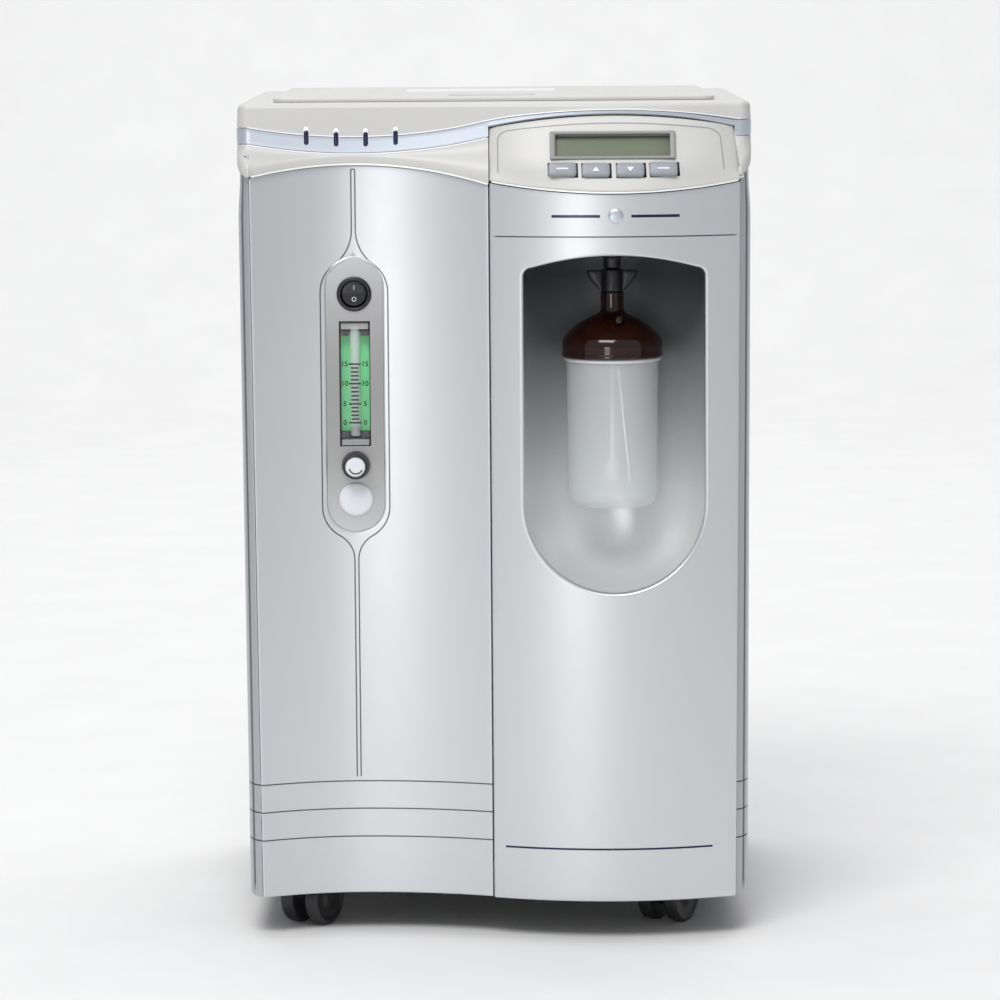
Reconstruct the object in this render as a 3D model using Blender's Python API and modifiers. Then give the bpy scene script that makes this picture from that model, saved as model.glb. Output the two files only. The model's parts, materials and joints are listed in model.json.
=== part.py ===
"""Stationary oxygen concentrator on casters, built in metres with +Z up.

The front faces -Y, and the origin is on the floor under the centre of the cabinet. Every piece is one named
object. A piece that moves has its origin on its joint's axis.
"""

import math

import bmesh
import bpy
from mathutils import Matrix, Vector

# ---------------------------------------------------------------- driving dimensions
WIDTH, DEPTH, HEIGHT = 0.365, 0.375, 0.600
GAP = 0.0003  # air between pieces that touch
WALL = 0.003  # moulded wall thickness
SKIRT_Z = 0.0285  # lower edge of the front and side panels
CAP_SIDE_Z = 0.546  # lower edge of the cap along the sides
CAP_TOP_Z = 0.5970
REAR_Y = DEPTH / 2

# Front panels: a hollow one on the left and a bulging one on the right
EDGE_HALF = 0.1735  # half width across the outer edges of both front panels, at their top
DRAFT = 0.0068  # metres that half width loses for each metre further down
EDGE_Y = -0.1650
SEAM_X = -0.0034
WAVE = 0.0175  # how deep the left panel is and how far the right one bulges
HOLLOW_X = -0.0985  # where the left panel is deepest
PROUD = 0.003  # step between the two panels at the seam
CONSOLE_PROUD = 0.002  # how far the console stands in front of the panel below it

# Cap: each corner is a quarter ellipse, given as its width and its depth
CAP_CORNER = (0.008, 0.016)
LIP_CORNER = (0.0095, 0.030)
BAND_TALL = 0.0115
LAMP_XS = (-0.1328, -0.1117, -0.0908, -0.0696)
LAMP_HALF = (0.0016, 0.0048)  # half width and half height of a light pipe's face

# Display console: the screen and the keys are placed by x and by v, from 0 at its foot to 1 at its top
CONSOLE_RIGHT = (0.1735, 0.1695)  # the console's right edge at its foot and its top
CONSOLE_LEAN = 0.0195
CONSOLE_MIDDLE_X = 0.085
CONSOLE_WALL = 0.0025
SCREEN_X, SCREEN_V, KEY_V = 0.0846, 0.61, 0.28
SCREEN_CUT, BEZEL, BEZEL_HOLE = (0.0884, 0.0212), (0.0878, 0.0206), (0.0812, 0.0174)
SCREEN = (0.0866, 0.0196)
KEY_XS = {"mode": 0.0482, "up": 0.0718, "down": 0.0961, "enter": 0.1196}
KEY_CUT, KEY = (0.0209, 0.0112), (0.0203, 0.0106)

# Humidifier window and control insert
WINDOW_X, WINDOW_HALF, WINDOW_ROUND_Z = 0.084, 0.064, 0.3147
WINDOW_TOP_Z, WINDOW_SHOULDER_Z = 0.4900, 0.4815
CONTROL_X = -0.1003
PILL_HALF, PILL_LOW_Z, PILL_HIGH_Z = 0.0207, 0.2917, 0.4888
INSERT_Y = EDGE_Y + WAVE - 0.0004

BOTTLE_X, BOTTLE_Y = 0.0838, -0.126
NICHE_BACK_Y = -0.076
SWITCH_Z, KNOB_Z, PORT_Z = 0.4619, 0.3395, 0.3150  # heights of the round controls on the insert
METER_LOW_Z, METER_HIGH_Z, METER_HALF = 0.3535, 0.4420, 0.0105

CASTER_PLACES = {
    "front_left": (-0.130, -0.105),
    "front_right": (0.130, -0.105),
    "rear_left": (-0.130, 0.140),
    "rear_right": (0.130, 0.140),
}
CASTER_YAW = math.radians(-30)
WHEEL_R = 0.020
TRAY_Z = 0.050  # underside of the base tray, on top of the casters

COLOURS = {
    "silver": ((0.72, 0.73, 0.75), 0.32, 0.55),
    "beige": ((0.74, 0.72, 0.67), 0.45, 0.10),
    "band": ((0.50, 0.55, 0.64), 0.30, 0.55),
    "black": ((0.015, 0.015, 0.02), 0.35, 0.0),
    "brown": ((0.06, 0.015, 0.01), 0.15, 0.0),
    "grey": ((0.36, 0.39, 0.43), 0.45, 0.0),
    "clear": ((0.85, 0.90, 0.88), 0.08, 0.0),
    "frosted": ((0.82, 0.85, 0.85), 0.45, 0.0),
    "green": ((0.25, 0.62, 0.38), 0.60, 0.0),
    "screen": ((0.20, 0.23, 0.17), 0.15, 0.0),
    "white": ((0.80, 0.81, 0.83), 0.40, 0.0),
    "lamp": ((0.03, 0.03, 0.12), 0.15, 0.0),
    "rubber": ((0.02, 0.02, 0.022), 0.70, 0.0),
    "steel": ((0.55, 0.55, 0.56), 0.35, 1.0),
    "aluminium": ((0.70, 0.71, 0.72), 0.40, 1.0),
    "copper": ((0.70, 0.38, 0.22), 0.30, 1.0),
    "foam": ((0.10, 0.10, 0.11), 0.95, 0.0),
    "board": ((0.02, 0.22, 0.10), 0.55, 0.0),
}


# ---------------------------------------------------------------- tools
for leftover in list(bpy.data.objects):
    bpy.data.objects.remove(leftover)
PARTS = bpy.data.collections.new("oxygen_concentrator")
CUTTERS = bpy.data.collections.new("cutters")
for collection in (PARTS, CUTTERS):
    bpy.context.scene.collection.children.link(collection)


def material(name):
    """The Principled material of that name, made at its first use."""
    if name in bpy.data.materials:
        return bpy.data.materials[name]
    made = bpy.data.materials.new(name)
    made.use_nodes = True
    shader = made.node_tree.nodes["Principled BSDF"]
    colour, roughness, metallic = COLOURS[name]
    shader.inputs["Base Color"].default_value = (*colour, 1)
    shader.inputs["Roughness"].default_value = roughness
    shader.inputs["Metallic"].default_value = metallic
    return made


def add(name, mesh, look, pivot=(0, 0, 0)):
    """A new object in the parts collection, or in the cutters if look is None. Its origin goes to pivot."""
    pivot = Vector(pivot)
    mesh.transform(Matrix.Translation(-pivot))
    made = bpy.data.objects.new(name, mesh)
    made.location = pivot
    if look is None:
        CUTTERS.objects.link(made)
        made.hide_render = True
        made.display_type = "WIRE"
    else:
        PARTS.objects.link(made)
        mesh.materials.append(material(look))
        mesh.shade_smooth()
        mesh.set_sharp_from_angle(angle=math.radians(35))
    return made


def mesh_of(name, bm):
    mesh = bpy.data.meshes.new(name)
    bm.to_mesh(mesh)
    bm.free()
    return mesh


def box(name, low, high, look, pivot=(0, 0, 0), bevel=0.0):
    """A box between two corners, with rounded edges where bevel is given."""
    low, high = Vector(low), Vector(high)
    bm = bmesh.new()
    bmesh.ops.create_cube(bm, size=1)
    bm.transform(Matrix.Translation((low + high) / 2) @ Matrix.Diagonal((*(high - low), 1)))
    if bevel:
        bmesh.ops.bevel(bm, geom=bm.edges, offset=bevel, segments=2, affect="EDGES", profile=0.5)
    return add(name, mesh_of(name, bm), look, pivot)


def cylinder(name, radius, low, high, look, sides=24, pivot=(0, 0, 0)):
    """A round bar from the point low to the point high."""
    low, high = Vector(low), Vector(high)
    along = high - low
    bm = bmesh.new()
    bmesh.ops.create_cone(
        bm, cap_ends=True, segments=sides, radius1=radius, radius2=radius, depth=along.length
    )
    bm.transform(Matrix.Translation((low + high) / 2) @ along.to_track_quat("Z", "Y").to_matrix().to_4x4())
    return add(name, mesh_of(name, bm), look, pivot)


def turned(name, profile, look, centre=(0, 0, 0), axis=(0, 0, 1), sides=24):
    """A closed body turned about an axis. The profile is (radius, height) pairs from top to bottom."""
    bm = bmesh.new()
    points = [bm.verts.new((radius, 0, height)) for radius, height in profile]
    for a, b in zip(points, points[1:]):
        bm.edges.new((a, b))
    if min(profile[0][0], profile[-1][0]) > 0:  # a hollow ring closes on itself
        bm.edges.new((points[-1], points[0]))
    mesh = mesh_of(name, bm)
    mesh.transform(Vector(axis).to_track_quat("Z", "Y").to_matrix().to_4x4())
    made = add(name, mesh, look)
    screw = made.modifiers.new("turn", "SCREW")
    screw.axis = "XYZ"[[abs(round(part)) for part in axis].index(1)]
    screw.steps = screw.render_steps = sides
    screw.use_merge_vertices = True
    screw.merge_threshold = 0.00001
    screw.use_normal_calculate = True
    made.location = centre
    return baked(made, look)


def baked(made, look, pivot=None):
    """The object with its modifiers applied, so that Booleans can use it or add to it."""
    bpy.context.view_layer.update()
    graph = bpy.context.evaluated_depsgraph_get()
    mesh = bpy.data.meshes.new_from_object(made.evaluated_get(graph))
    mesh.transform(made.matrix_world)
    bm = bmesh.new()
    bm.from_mesh(mesh)
    bmesh.ops.remove_doubles(bm, verts=bm.verts, dist=0.00001)
    bmesh.ops.recalc_face_normals(bm, faces=bm.faces)
    bm.to_mesh(mesh)
    bm.free()
    name = made.name
    pivot = made.location.copy() if pivot is None else pivot
    bpy.data.objects.remove(made)
    mesh.materials.clear()
    return add(name, mesh, look, pivot)


def flat(name, outlines, near, far, look, pivot=(0, 0, 0)):
    """A plate facing -Y, from y = near to y = far. Its (x, z) outline comes first, and then its holes."""
    curve = bpy.data.curves.new(name, "CURVE")
    curve.dimensions = "2D"
    curve.fill_mode = "BOTH"
    curve.extrude = (far - near) / 2
    for outline in outlines:
        spline = curve.splines.new("POLY")
        spline.points.add(len(outline) - 1)
        for point, (x, z) in zip(spline.points, outline):
            point.co = (x, z, 0, 1)
        spline.use_cyclic_u = True
    drawn = bpy.data.objects.new(name, curve)
    PARTS.objects.link(drawn)
    drawn.matrix_world = Matrix.Translation((0, (near + far) / 2, 0)) @ Matrix.Rotation(math.pi / 2, 4, "X")
    return baked(drawn, look, Vector(pivot))


def sheet(name, columns, rows, place, look, thickness=WALL):
    """A plate facing -Y, from y = near to y = far. Its (x, z) outline is first, and then its holes."""
    bm = bmesh.new()
    bmesh.ops.create_grid(bm, x_segments=columns, y_segments=rows, size=0.5)
    for vert in bm.verts:
        vert.co = place(vert.co.x + 0.5, vert.co.y + 0.5)
    made = add(name, mesh_of(name, bm), look)
    thicken(made, thickness)
    return made


def thicken(made, thickness):
    solidify = made.modifiers.new("wall", "SOLIDIFY")
    solidify.thickness = thickness
    solidify.offset = -1
    solidify.use_even_offset = True


def loft(name, rings, look, thickness=None):
    """A skin through closed rings of equal length, closed by a face on the last ring, then thickened."""
    bm = bmesh.new()
    loops = [[bm.verts.new(point) for point in ring] for ring in rings]
    for lower, upper in zip(loops, loops[1:]):
        for i, vert in enumerate(lower):
            after = (i + 1) % len(lower)
            bm.faces.new((vert, lower[after], upper[after], upper[i]))
    bm.faces.new(loops[-1])
    if thickness is None:
        bm.faces.new(list(reversed(loops[0])))
    made = add(name, mesh_of(name, bm), look)
    if thickness is not None:
        thicken(made, thickness)
    return made


def boolean(target, other, operation="DIFFERENCE"):
    """Cuts other from target, or joins them. A piece that is joined leaves the parts."""
    modifier = target.modifiers.new(other.name, "BOOLEAN")
    modifier.operation = operation
    modifier.object = other
    if other.name in PARTS.objects:
        PARTS.objects.unlink(other)
        CUTTERS.objects.link(other)
        other.hide_render = True
        other.display_type = "WIRE"
    return target


def arc(centre, radius, start, end, steps):
    """Points of a circle's arc between two angles in degrees, both ends included."""
    angles = [math.radians(start + (end - start) * i / steps) for i in range(steps + 1)]
    return [(centre[0] + radius * math.cos(a), centre[1] + radius * math.sin(a)) for a in angles]


def slot_outline(x, low, high, half, steps=8):
    """An upright slot with round ends, as (x, z) points."""
    return arc((x, low + half), half, 180, 360, steps) + arc((x, high - half), half, 0, 180, steps)


def rectangle(x0, z0, x1, z1):
    return [(x0, z0), (x1, z0), (x1, z1), (x0, z1)]


def smooth(t):
    t = min(1.0, max(0.0, t))
    return t * t * (3 - 2 * t)


def mix(a, b, t):
    return a + (b - a) * t


# ---------------------------------------------------------------- shared curves of the front
def half_width(z):
    """Half width across the front panels at a height: the cabinet narrows a little downwards."""
    return EDGE_HALF - DRAFT * (CAP_SIDE_Z - z)


def left_panel_y(x, z):
    reach = half_width(z) + HOLLOW_X if x < HOLLOW_X else SEAM_X - HOLLOW_X
    return EDGE_Y + WAVE * (1 - ((x - HOLLOW_X) / reach) ** 2)


def right_panel_y(x, z):
    middle, half = (SEAM_X + half_width(z)) / 2, (half_width(z) - SEAM_X) / 2
    return EDGE_Y - PROUD - WAVE * (1 - ((x - middle) / half) ** 2)


def cap_low_z(x):
    """Lower edge of the cap over the left panel."""
    return 0.5546 - 1.55 * (x + 0.100) ** 2


def console_low_z(x):
    return 0.5349 + 1.0 * (x - 0.085) ** 2


def console_high_z(x):
    return 0.5875 - 1.1 * (x - 0.084) ** 2


def band_high_z(x):
    """Upper edge of the accent band: a dip on the left that swings up into a crown over the console."""
    dip = 0.5733 + 1.2 * (x + 0.098) ** 2
    crown = 0.5915 - 0.9 * (x - 0.084) ** 2
    return mix(dip, crown, smooth((x + 0.035) / 0.06))


def band_low_z(x):
    return band_high_z(x) - BAND_TALL


def window_outline(grow=0.0, steps=12):
    """The humidifier window, counter-clockwise from its left side: half-round below, and arched above."""
    half, corner = WINDOW_HALF + grow, 0.006 + grow
    round_end = arc((WINDOW_X, WINDOW_ROUND_Z), half, 180, 360, steps)
    shoulder = WINDOW_SHOULDER_Z + grow - corner
    right = arc((WINDOW_X + half - corner, shoulder), corner, 0, 75, 3)
    left = arc((WINDOW_X - half + corner, shoulder), corner, 105, 180, 3)
    rise = WINDOW_TOP_Z - WINDOW_SHOULDER_Z
    span = half - corner
    crown = [
        (WINDOW_X + span * (0.75 - 0.25 * i), WINDOW_SHOULDER_Z + grow + rise * (1 - (0.75 - 0.25 * i) ** 2))
        for i in range(7)
    ]
    return round_end + right + crown + left


# ---------------------------------------------------------------- front panels
def build_left_front_panel():
    def place(u, v):
        x = mix(-1, 0, u)
        top = cap_low_z(mix(-half_width(CAP_SIDE_Z), SEAM_X - 0.001, u)) - 0.0008
        z = mix(SKIRT_Z, top, v)
        x = mix(-half_width(z), SEAM_X - 0.001, u)
        return (x, left_panel_y(x, z), z)

    panel = sheet("left_front_panel", 16, 4, place, "silver")
    pill = slot_outline(CONTROL_X, PILL_LOW_Z - GAP, PILL_HIGH_Z + GAP, PILL_HALF + GAP)
    boolean(panel, flat("cut_insert_hole", [pill], -0.18, -0.12, None))


def build_right_front_panel():
    def place(u, v):
        top = console_low_z(mix(SEAM_X, half_width(CAP_SIDE_Z), u)) - 0.0018
        z = mix(SKIRT_Z, top, v)
        x = mix(SEAM_X, half_width(z), u)
        return (x, right_panel_y(x, z), z)

    panel = sheet("right_front_panel", 16, 4, place, "silver")
    boolean(panel, flat("cut_window", [window_outline()], -0.21, -0.12, None))


def build_side_panel(side, name):
    """A side panel: a soft front corner, a straight side and a rounded rear corner."""
    front_reach, rear_round = 0.027, 0.015
    front = EDGE_Y + WALL + 0.0006  # just behind the front panel's edge, which laps over it
    turns = 6

    def plan(u, z):
        edge = half_width(z)
        out = 0.1812 - DRAFT * (CAP_SIDE_Z - z)
        step = u * (2 * turns + 1)
        if step <= turns:
            angle = math.radians(90 * step / turns)
            return edge + (out - edge) * math.sin(angle), front + front_reach * (1 - math.cos(angle))
        angle = math.radians(90 * (step - turns - 1) / turns)
        return (
            out - rear_round * (1 - math.cos(angle)),
            REAR_Y - rear_round * (1 - math.sin(angle)),
        )

    def place(u, v):
        z = mix(SKIRT_Z, CAP_SIDE_Z - 0.0016, v)
        x, y = plan(u if side > 0 else 1 - u, z)
        return (side * x, y, z)

    return sheet(name, 2 * turns + 1, 2, place, "silver", 0.0025)


def build_rear_panel():
    half = 0.1655 - DRAFT * (CAP_SIDE_Z - SKIRT_Z)
    outer = rectangle(-half, SKIRT_Z, half, CAP_SIDE_Z - 0.001)
    door = rectangle(-0.066, 0.353, 0.066, 0.487)
    inlet = rectangle(-0.1205, 0.0855, -0.0915, 0.1065)
    breaker = arc((-0.070, 0.096), 0.0062, 0, 345, 23)
    louvres = [slot_outline(0.045 + 0.012 * i, 0.085, 0.165, 0.0025, 4) for i in range(-2, 8)]
    flat("rear_panel", [outer, door, inlet, breaker, *louvres], REAR_Y - 0.004, REAR_Y - 0.001, "silver")


# ---------------------------------------------------------------- cap, lid, band and console
def front_path(grow, front_y, corner, reach, span=24, steps=4):
    """The cap's front in plan, from its left side to its right one, as (x, y) points.

    front_y(x) shapes the middle, and each end is a quarter ellipse, corner wide and reach deep. A negative
    grow moves the sides in.
    """
    start = WIDTH / 2 + grow - corner
    path = [(mix(-start, start, i / span), front_y(mix(-start, start, i / span))) for i in range(span + 1)]
    for i in range(1, steps + 1):
        out = corner * math.sin(math.radians(90 * i / steps))
        back = reach * (1 - math.cos(math.radians(90 * i / steps)))
        path.append((start + out, front_y(start) + back))
        path.insert(0, (-start - out, front_y(-start) + back))
    return path


def cap_ring(grow, z_front, front_y, corner, reach):
    """One ring of the cap, counter-clockwise seen from above. z_front(x) is its height along the front."""
    front = front_path(grow, front_y, corner, reach)
    start = WIDTH / 2 + grow - corner
    ring = [Vector((x, y, z_front(max(-start, min(start, x))))) for x, y in front]
    half, rear, round_r, steps = WIDTH / 2 + grow, REAR_Y + grow, 0.012, 3
    for side in (1, -1):
        turn = arc((side * (half - round_r), rear - round_r), round_r, 0, 90, steps)
        if side < 0:
            turn = arc((side * (half - round_r), rear - round_r), round_r, 90, 180, steps)
        ring += [Vector((x, y, z_front(side * start))) for x, y in turn]
    return ring


def lip_y(x):
    """Front of the cap's lower lip: just proud of the left panel, and running on behind the console."""
    follow = left_panel_y(min(x, SEAM_X), CAP_SIDE_Z) - 0.003
    return mix(follow, EDGE_Y - 0.003, smooth((x - SEAM_X) / 0.02))


def band_y(x):
    """Front of the cap where the band runs: most of the wave has gone."""
    return -0.1530 - 0.0065 * math.sin(math.pi * (x - SEAM_X) / (EDGE_HALF - SEAM_X)) * (x > SEAM_X) + (
        0.003 * math.sin(math.pi * (SEAM_X - x) / (EDGE_HALF + SEAM_X)) * (x < SEAM_X)
    )


def build_top_cover():
    def low(x):
        if x < SEAM_X:
            return cap_low_z(x)
        return mix(cap_low_z(SEAM_X), CAP_SIDE_Z, smooth(x / 0.17))

    rings = [
        cap_ring(0.0, low, lip_y, *LIP_CORNER),
        cap_ring(0.0, lambda x: low(x) + 0.0045, lip_y, *LIP_CORNER),
        cap_ring(0.0, band_low_z, band_y, *CAP_CORNER),
        cap_ring(0.0, band_high_z, band_y, *CAP_CORNER),
        cap_ring(-0.0008, lambda x: 0.5940, lambda x: band_y(x) + 0.002, *CAP_CORNER),
        cap_ring(-0.0060, lambda x: CAP_TOP_Z, lambda x: band_y(x) + 0.007, *CAP_CORNER),
        cap_ring(-0.0260, lambda x: CAP_TOP_Z, lambda x: -0.114, 0.006, 0.006),
        cap_ring(-0.0280, lambda x: 0.577, lambda x: -0.112, 0.006, 0.006),
    ]
    cap = loft("top_cover", rings, "beige", 0.0036)
    boolean(cap, band_strip("cut_channel", None, 0.0006, -0.0050, 0.0021, 0.0))
    boolean(cap, console_block("cut_console_seat", 0.0007, -0.215, -0.140))
    for index, x in enumerate(LAMP_XS):
        hole = box(
            f"cut_lamp_{index}",
            (x - 0.0019, -0.20, lamp_z(x) - 0.0051),
            (x + 0.0019, -0.130, lamp_z(x) + 0.0051),
            None,
        )
        boolean(cap, hole)


def console_block(name, grow, near, far):
    """A block with the console's front outline, grown by grow, from y = near to y = far."""
    steps = 10
    low_xs = [mix(SEAM_X - grow, CONSOLE_RIGHT[0] + grow, i / steps) for i in range(steps + 1)]
    high_xs = [mix(SEAM_X - grow, CONSOLE_RIGHT[1] + grow, i / steps) for i in range(steps + 1)]
    low = [(x, console_low_z(x) - 0.004) for x in low_xs]
    high = [(x, console_high_z(x) + grow) for x in reversed(high_xs)]
    return flat(name, [low + high], near, far, None)


def lamp_z(x):
    return band_high_z(x) + 0.0008


def band_strip(name, look, grow_z, front, back, trim):
    """A strip round the cap's front, from front to back in depth behind its face, less trim at each end."""
    start = WIDTH / 2 - CAP_CORNER[0]

    def moved(inward):
        path = front_path(-inward, lambda x: band_y(x) + inward, *CAP_CORNER)
        for end in (0, -1):
            path[end] = (path[end][0], path[end][1] - trim)
        return path

    faces = []
    for inward in (front, back):
        for edge in (band_low_z, band_high_z):
            lift = grow_z if edge is band_high_z else -grow_z
            faces.append([Vector((x, y, edge(max(-start, min(start, x))) + lift)) for x, y in moved(inward)])
    low_out, high_out, low_in, high_in = faces
    bm = bmesh.new()
    loops = [[bm.verts.new(point) for point in line] for line in (low_out, high_out, high_in, low_in)]
    for line, after in zip(loops, loops[1:] + loops[:1]):
        for i in range(len(line) - 1):
            bm.faces.new((line[i], line[i + 1], after[i + 1], after[i]))
    for end in (0, -1):
        bm.faces.new([line[end] for line in loops])
    bmesh.ops.recalc_face_normals(bm, faces=bm.faces)
    return add(name, mesh_of(name, bm), look)


def build_accent_band():
    """The silver strip in the cap's channel, round both front corners. The console covers a part of it."""
    band = band_strip("accent_band", "band", -0.0003, 0.0003, 0.0017, 0.0006)
    boolean(band, console_block("cut_band_console", 0.0004, -0.215, -0.130))
    for index, x in enumerate(LAMP_XS):
        boolean(
            band,
            box(
                f"cut_band_lamp_{index}",
                (x - LAMP_HALF[0] - GAP, -0.20, lamp_z(x) - LAMP_HALF[1] - GAP),
                (x + LAMP_HALF[0] + GAP, -0.130, lamp_z(x) + LAMP_HALF[1] + GAP),
                None,
            ),
        )


def build_indicator_light_pipes():
    """Four light pipes on one moulded bar behind the cap's front."""
    bar = box("indicator_light_pipes", (-0.138, -0.1425, 0.5715), (-0.064, -0.1395, 0.5775), "lamp")
    for index, x in enumerate(LAMP_XS):
        z = lamp_z(x)
        face = band_y(x) - 0.0012
        prong = box(
            f"join_lamp_{index}",
            (x - LAMP_HALF[0], face, z - LAMP_HALF[1]),
            (x + LAMP_HALF[0], -0.1400, z + LAMP_HALF[1]),
            "lamp",
        )
        boolean(bar, prong, "UNION")


def console_point(u, v):
    """A point of the console's face. It leans back, and its bulge flattens towards the top."""
    x = mix(SEAM_X, mix(*CONSOLE_RIGHT, v), u)
    z = mix(console_low_z(x), console_high_z(x), v)
    s = abs(2 * u - 1)
    power = 2 + 2 * smooth(v / 0.5)
    bulge = WAVE * (1 - 0.35 * v) * (1 - s**power)
    y = EDGE_Y - PROUD - CONSOLE_PROUD + CONSOLE_LEAN * v - bulge
    return Vector((x, y, z))


def console_frame(x, v):
    """A frame on the console's face: local x to the right, local y up the slope and local z outwards."""
    u = (x - SEAM_X) / (EDGE_HALF - SEAM_X)
    rise = console_high_z(CONSOLE_MIDDLE_X) - console_low_z(CONSOLE_MIDDLE_X)
    lean = math.atan2(CONSOLE_LEAN + 0.35 * WAVE, rise)
    return Matrix.Translation(console_point(u, v)) @ Matrix.Rotation(math.pi / 2 - lean, 4, "X")


def slab(name, size, low, high, frame, look, bevel=0.0):
    """A box in a frame on the console's face, from low to high along the frame's outward axis."""
    bm = bmesh.new()
    bmesh.ops.create_cube(bm, size=1)
    middle = Matrix.Translation((0, 0, (low + high) / 2))
    bm.transform(middle @ Matrix.Diagonal((*size, high - low, 1)))
    if bevel:
        bmesh.ops.bevel(bm, geom=bm.edges, offset=bevel, segments=2, affect="EDGES", profile=0.5)
    bm.transform(frame)
    return add(name, mesh_of(name, bm), look, frame.translation)


def build_display_console():
    console = sheet("display_console", 16, 6, console_point, "beige", CONSOLE_WALL)
    through = (-0.02, 0.02)
    screen = console_frame(SCREEN_X, SCREEN_V)
    boolean(console, slab("cut_screen", SCREEN_CUT, *through, screen, None))
    for key, x in KEY_XS.items():
        boolean(console, slab(f"cut_key_{key}", KEY_CUT, *through, console_frame(x, KEY_V), None))


def build_screen_and_keys():
    frame = console_frame(SCREEN_X, SCREEN_V)
    bezel = slab("lcd_bezel", BEZEL, -0.0060, 0.0012, frame, "grey")
    boolean(bezel, slab("cut_bezel", BEZEL_HOLE, -0.0100, 0.0100, frame, None))
    slab("lcd_screen", SCREEN, -0.0088, -0.0063, frame, "screen")
    for key, x in KEY_XS.items():
        slab(f"button_{key}", KEY, -0.0045, 0.0026, console_frame(x, KEY_V), "grey", 0.0012)


def build_top_lid():
    """The lid over the accessory tray: a plate with a finger pull, hinged along its rear edge."""
    pivot = (0, 0.167, 0.5990)
    lid = box("top_lid", (-0.158, -0.118, CAP_TOP_Z + GAP), (0.158, 0.165, HEIGHT), "beige", pivot)
    cup = box("join_pull", (-0.0350, -0.083, 0.5865), (0.0320, -0.030, HEIGHT - 0.0005), "beige")
    boolean(lid, cup, "UNION")
    boolean(lid, box("cut_pull", (-0.0325, -0.0805, 0.5890), (0.0295, -0.0325, 0.61), None))


# ---------------------------------------------------------------- controls in the insert
def build_control_insert():
    holes = [
        arc((CONTROL_X, SWITCH_Z), 0.0117, 0, 345, 23),
        rectangle(
            CONTROL_X - METER_HALF - 0.0005,
            METER_LOW_Z - 0.0005,
            CONTROL_X + METER_HALF + 0.0005,
            METER_HIGH_Z + 0.0005,
        ),
        arc((CONTROL_X, KNOB_Z), 0.0060, 0, 337.5, 15),
        arc((CONTROL_X, PORT_Z), 0.0080, 0, 337.5, 15),
    ]
    pill = slot_outline(CONTROL_X, PILL_LOW_Z, PILL_HIGH_Z, PILL_HALF)
    flat("control_insert", [pill, *holes], INSERT_Y, INSERT_Y + WALL, "beige")


def build_power_switch():
    centre = (CONTROL_X, INSERT_Y, SWITCH_Z)
    turned(
        "switch_housing",
        [
            (0.0098, 0.0016),
            (0.0122, 0.0010),
            (0.0122, 0.0003),
            (0.0114, 0.0003),
            (0.0114, -0.0180),
            (0.0098, -0.0180),
        ][::-1],
        "black",
        centre,
        (0, -1, 0),
    )
    pivot = (CONTROL_X, INSERT_Y + 0.0060, SWITCH_Z)
    rocker = cylinder(
        "power_rocker",
        0.0089,
        (CONTROL_X, INSERT_Y + 0.0080, SWITCH_Z),
        (CONTROL_X, INSERT_Y - 0.0012, SWITCH_Z),
        "black",
        24,
        pivot,
    )
    rocker.rotation_euler = (math.radians(-5), 0, 0)


def build_flowmeter():
    half, low, high = METER_HALF, METER_LOW_Z, METER_HIGH_Z
    front, back = INSERT_Y - 0.0010, INSERT_Y + 0.0170
    block = box("flowmeter_block", (CONTROL_X - half, front, low), (CONTROL_X + half, back, high), "clear")
    tube_y = INSERT_Y + 0.0065
    bore = cylinder(
        "cut_bore", 0.0040, (CONTROL_X, tube_y, 0.3600), (CONTROL_X, tube_y, 0.4500), None, 20
    )
    boolean(block, bore)
    box(
        "flowmeter_scale",
        (CONTROL_X - half, back + GAP, low),
        (CONTROL_X + half, back + 0.0015, high),
        "green",
    )
    bm = bmesh.new()
    bmesh.ops.create_uvsphere(bm, u_segments=12, v_segments=8, radius=0.0034)
    bm.transform(Matrix.Translation((CONTROL_X, tube_y, 0.3600 + 0.0034 + GAP)))
    add("flow_float", mesh_of("flow_float", bm), "black", (CONTROL_X, tube_y, 0.3637))
    turned(
        "flow_knob",
        [
            (0.0, 0.0150),
            (0.0070, 0.0150),
            (0.0074, 0.0140),
            (0.0080, 0.0120),
            (0.0103, 0.0030),
            (0.0103, 0.0006),
            (0.0052, 0.0006),
            (0.0052, -0.0200),
            (0.0, -0.0200),
        ],
        "black",
        (CONTROL_X, INSERT_Y, KNOB_Z),
        (0, -1, 0),
    )


def build_port_cap():
    turned(
        "port_cap",
        [
            (0.0, 0.0022),
            (0.0105, 0.0020),
            (0.0118, 0.0010),
            (0.0118, 0.0003),
            (0.0074, 0.0003),
            (0.0074, -0.0080),
            (0.0, -0.0080),
        ],
        "white",
        (CONTROL_X, INSERT_Y, PORT_Z),
        (0, -1, 0),
    )


# ---------------------------------------------------------------- humidifier and its niche
def build_humidifier_niche():
    """An alcove behind the window: upright half-round walls, a bowl below and a level roof."""

    def ring(grow, back, shrink, rise):
        points = []
        for x, z in reversed(window_outline(grow)):
            top = WINDOW_SHOULDER_Z + grow
            new_x = WINDOW_X + (x - WINDOW_X) * shrink
            new_z = z if z > top - 0.004 else top - (top - z) * (1 - rise)
            y = right_panel_y(x, z) + WALL + GAP if back is None else back
            points.append(Vector((new_x, y, new_z)))
        return points

    front_y = EDGE_Y + 0.0035
    rings = [ring(0.006, None, 1.0, 0.0), ring(0.0006, None, 1.0, 0.0), ring(0.0006, front_y, 1.0, 0.0)]
    for degrees in (20, 40, 55, 70, 80):
        angle = math.radians(degrees)
        shrink = math.cos(angle)
        back = front_y + (NICHE_BACK_Y - front_y) * math.sin(angle)
        rings.append(ring(0.0006, back, shrink, 0.42 * (1 - shrink)))
    niche = loft("humidifier_niche", rings, "silver", -0.0022)
    low, high = ((BOTTLE_X, BOTTLE_Y, z) for z in (0.47, 0.51))
    boolean(niche, cylinder("cut_spigot", 0.0068, low, high, None))


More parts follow.
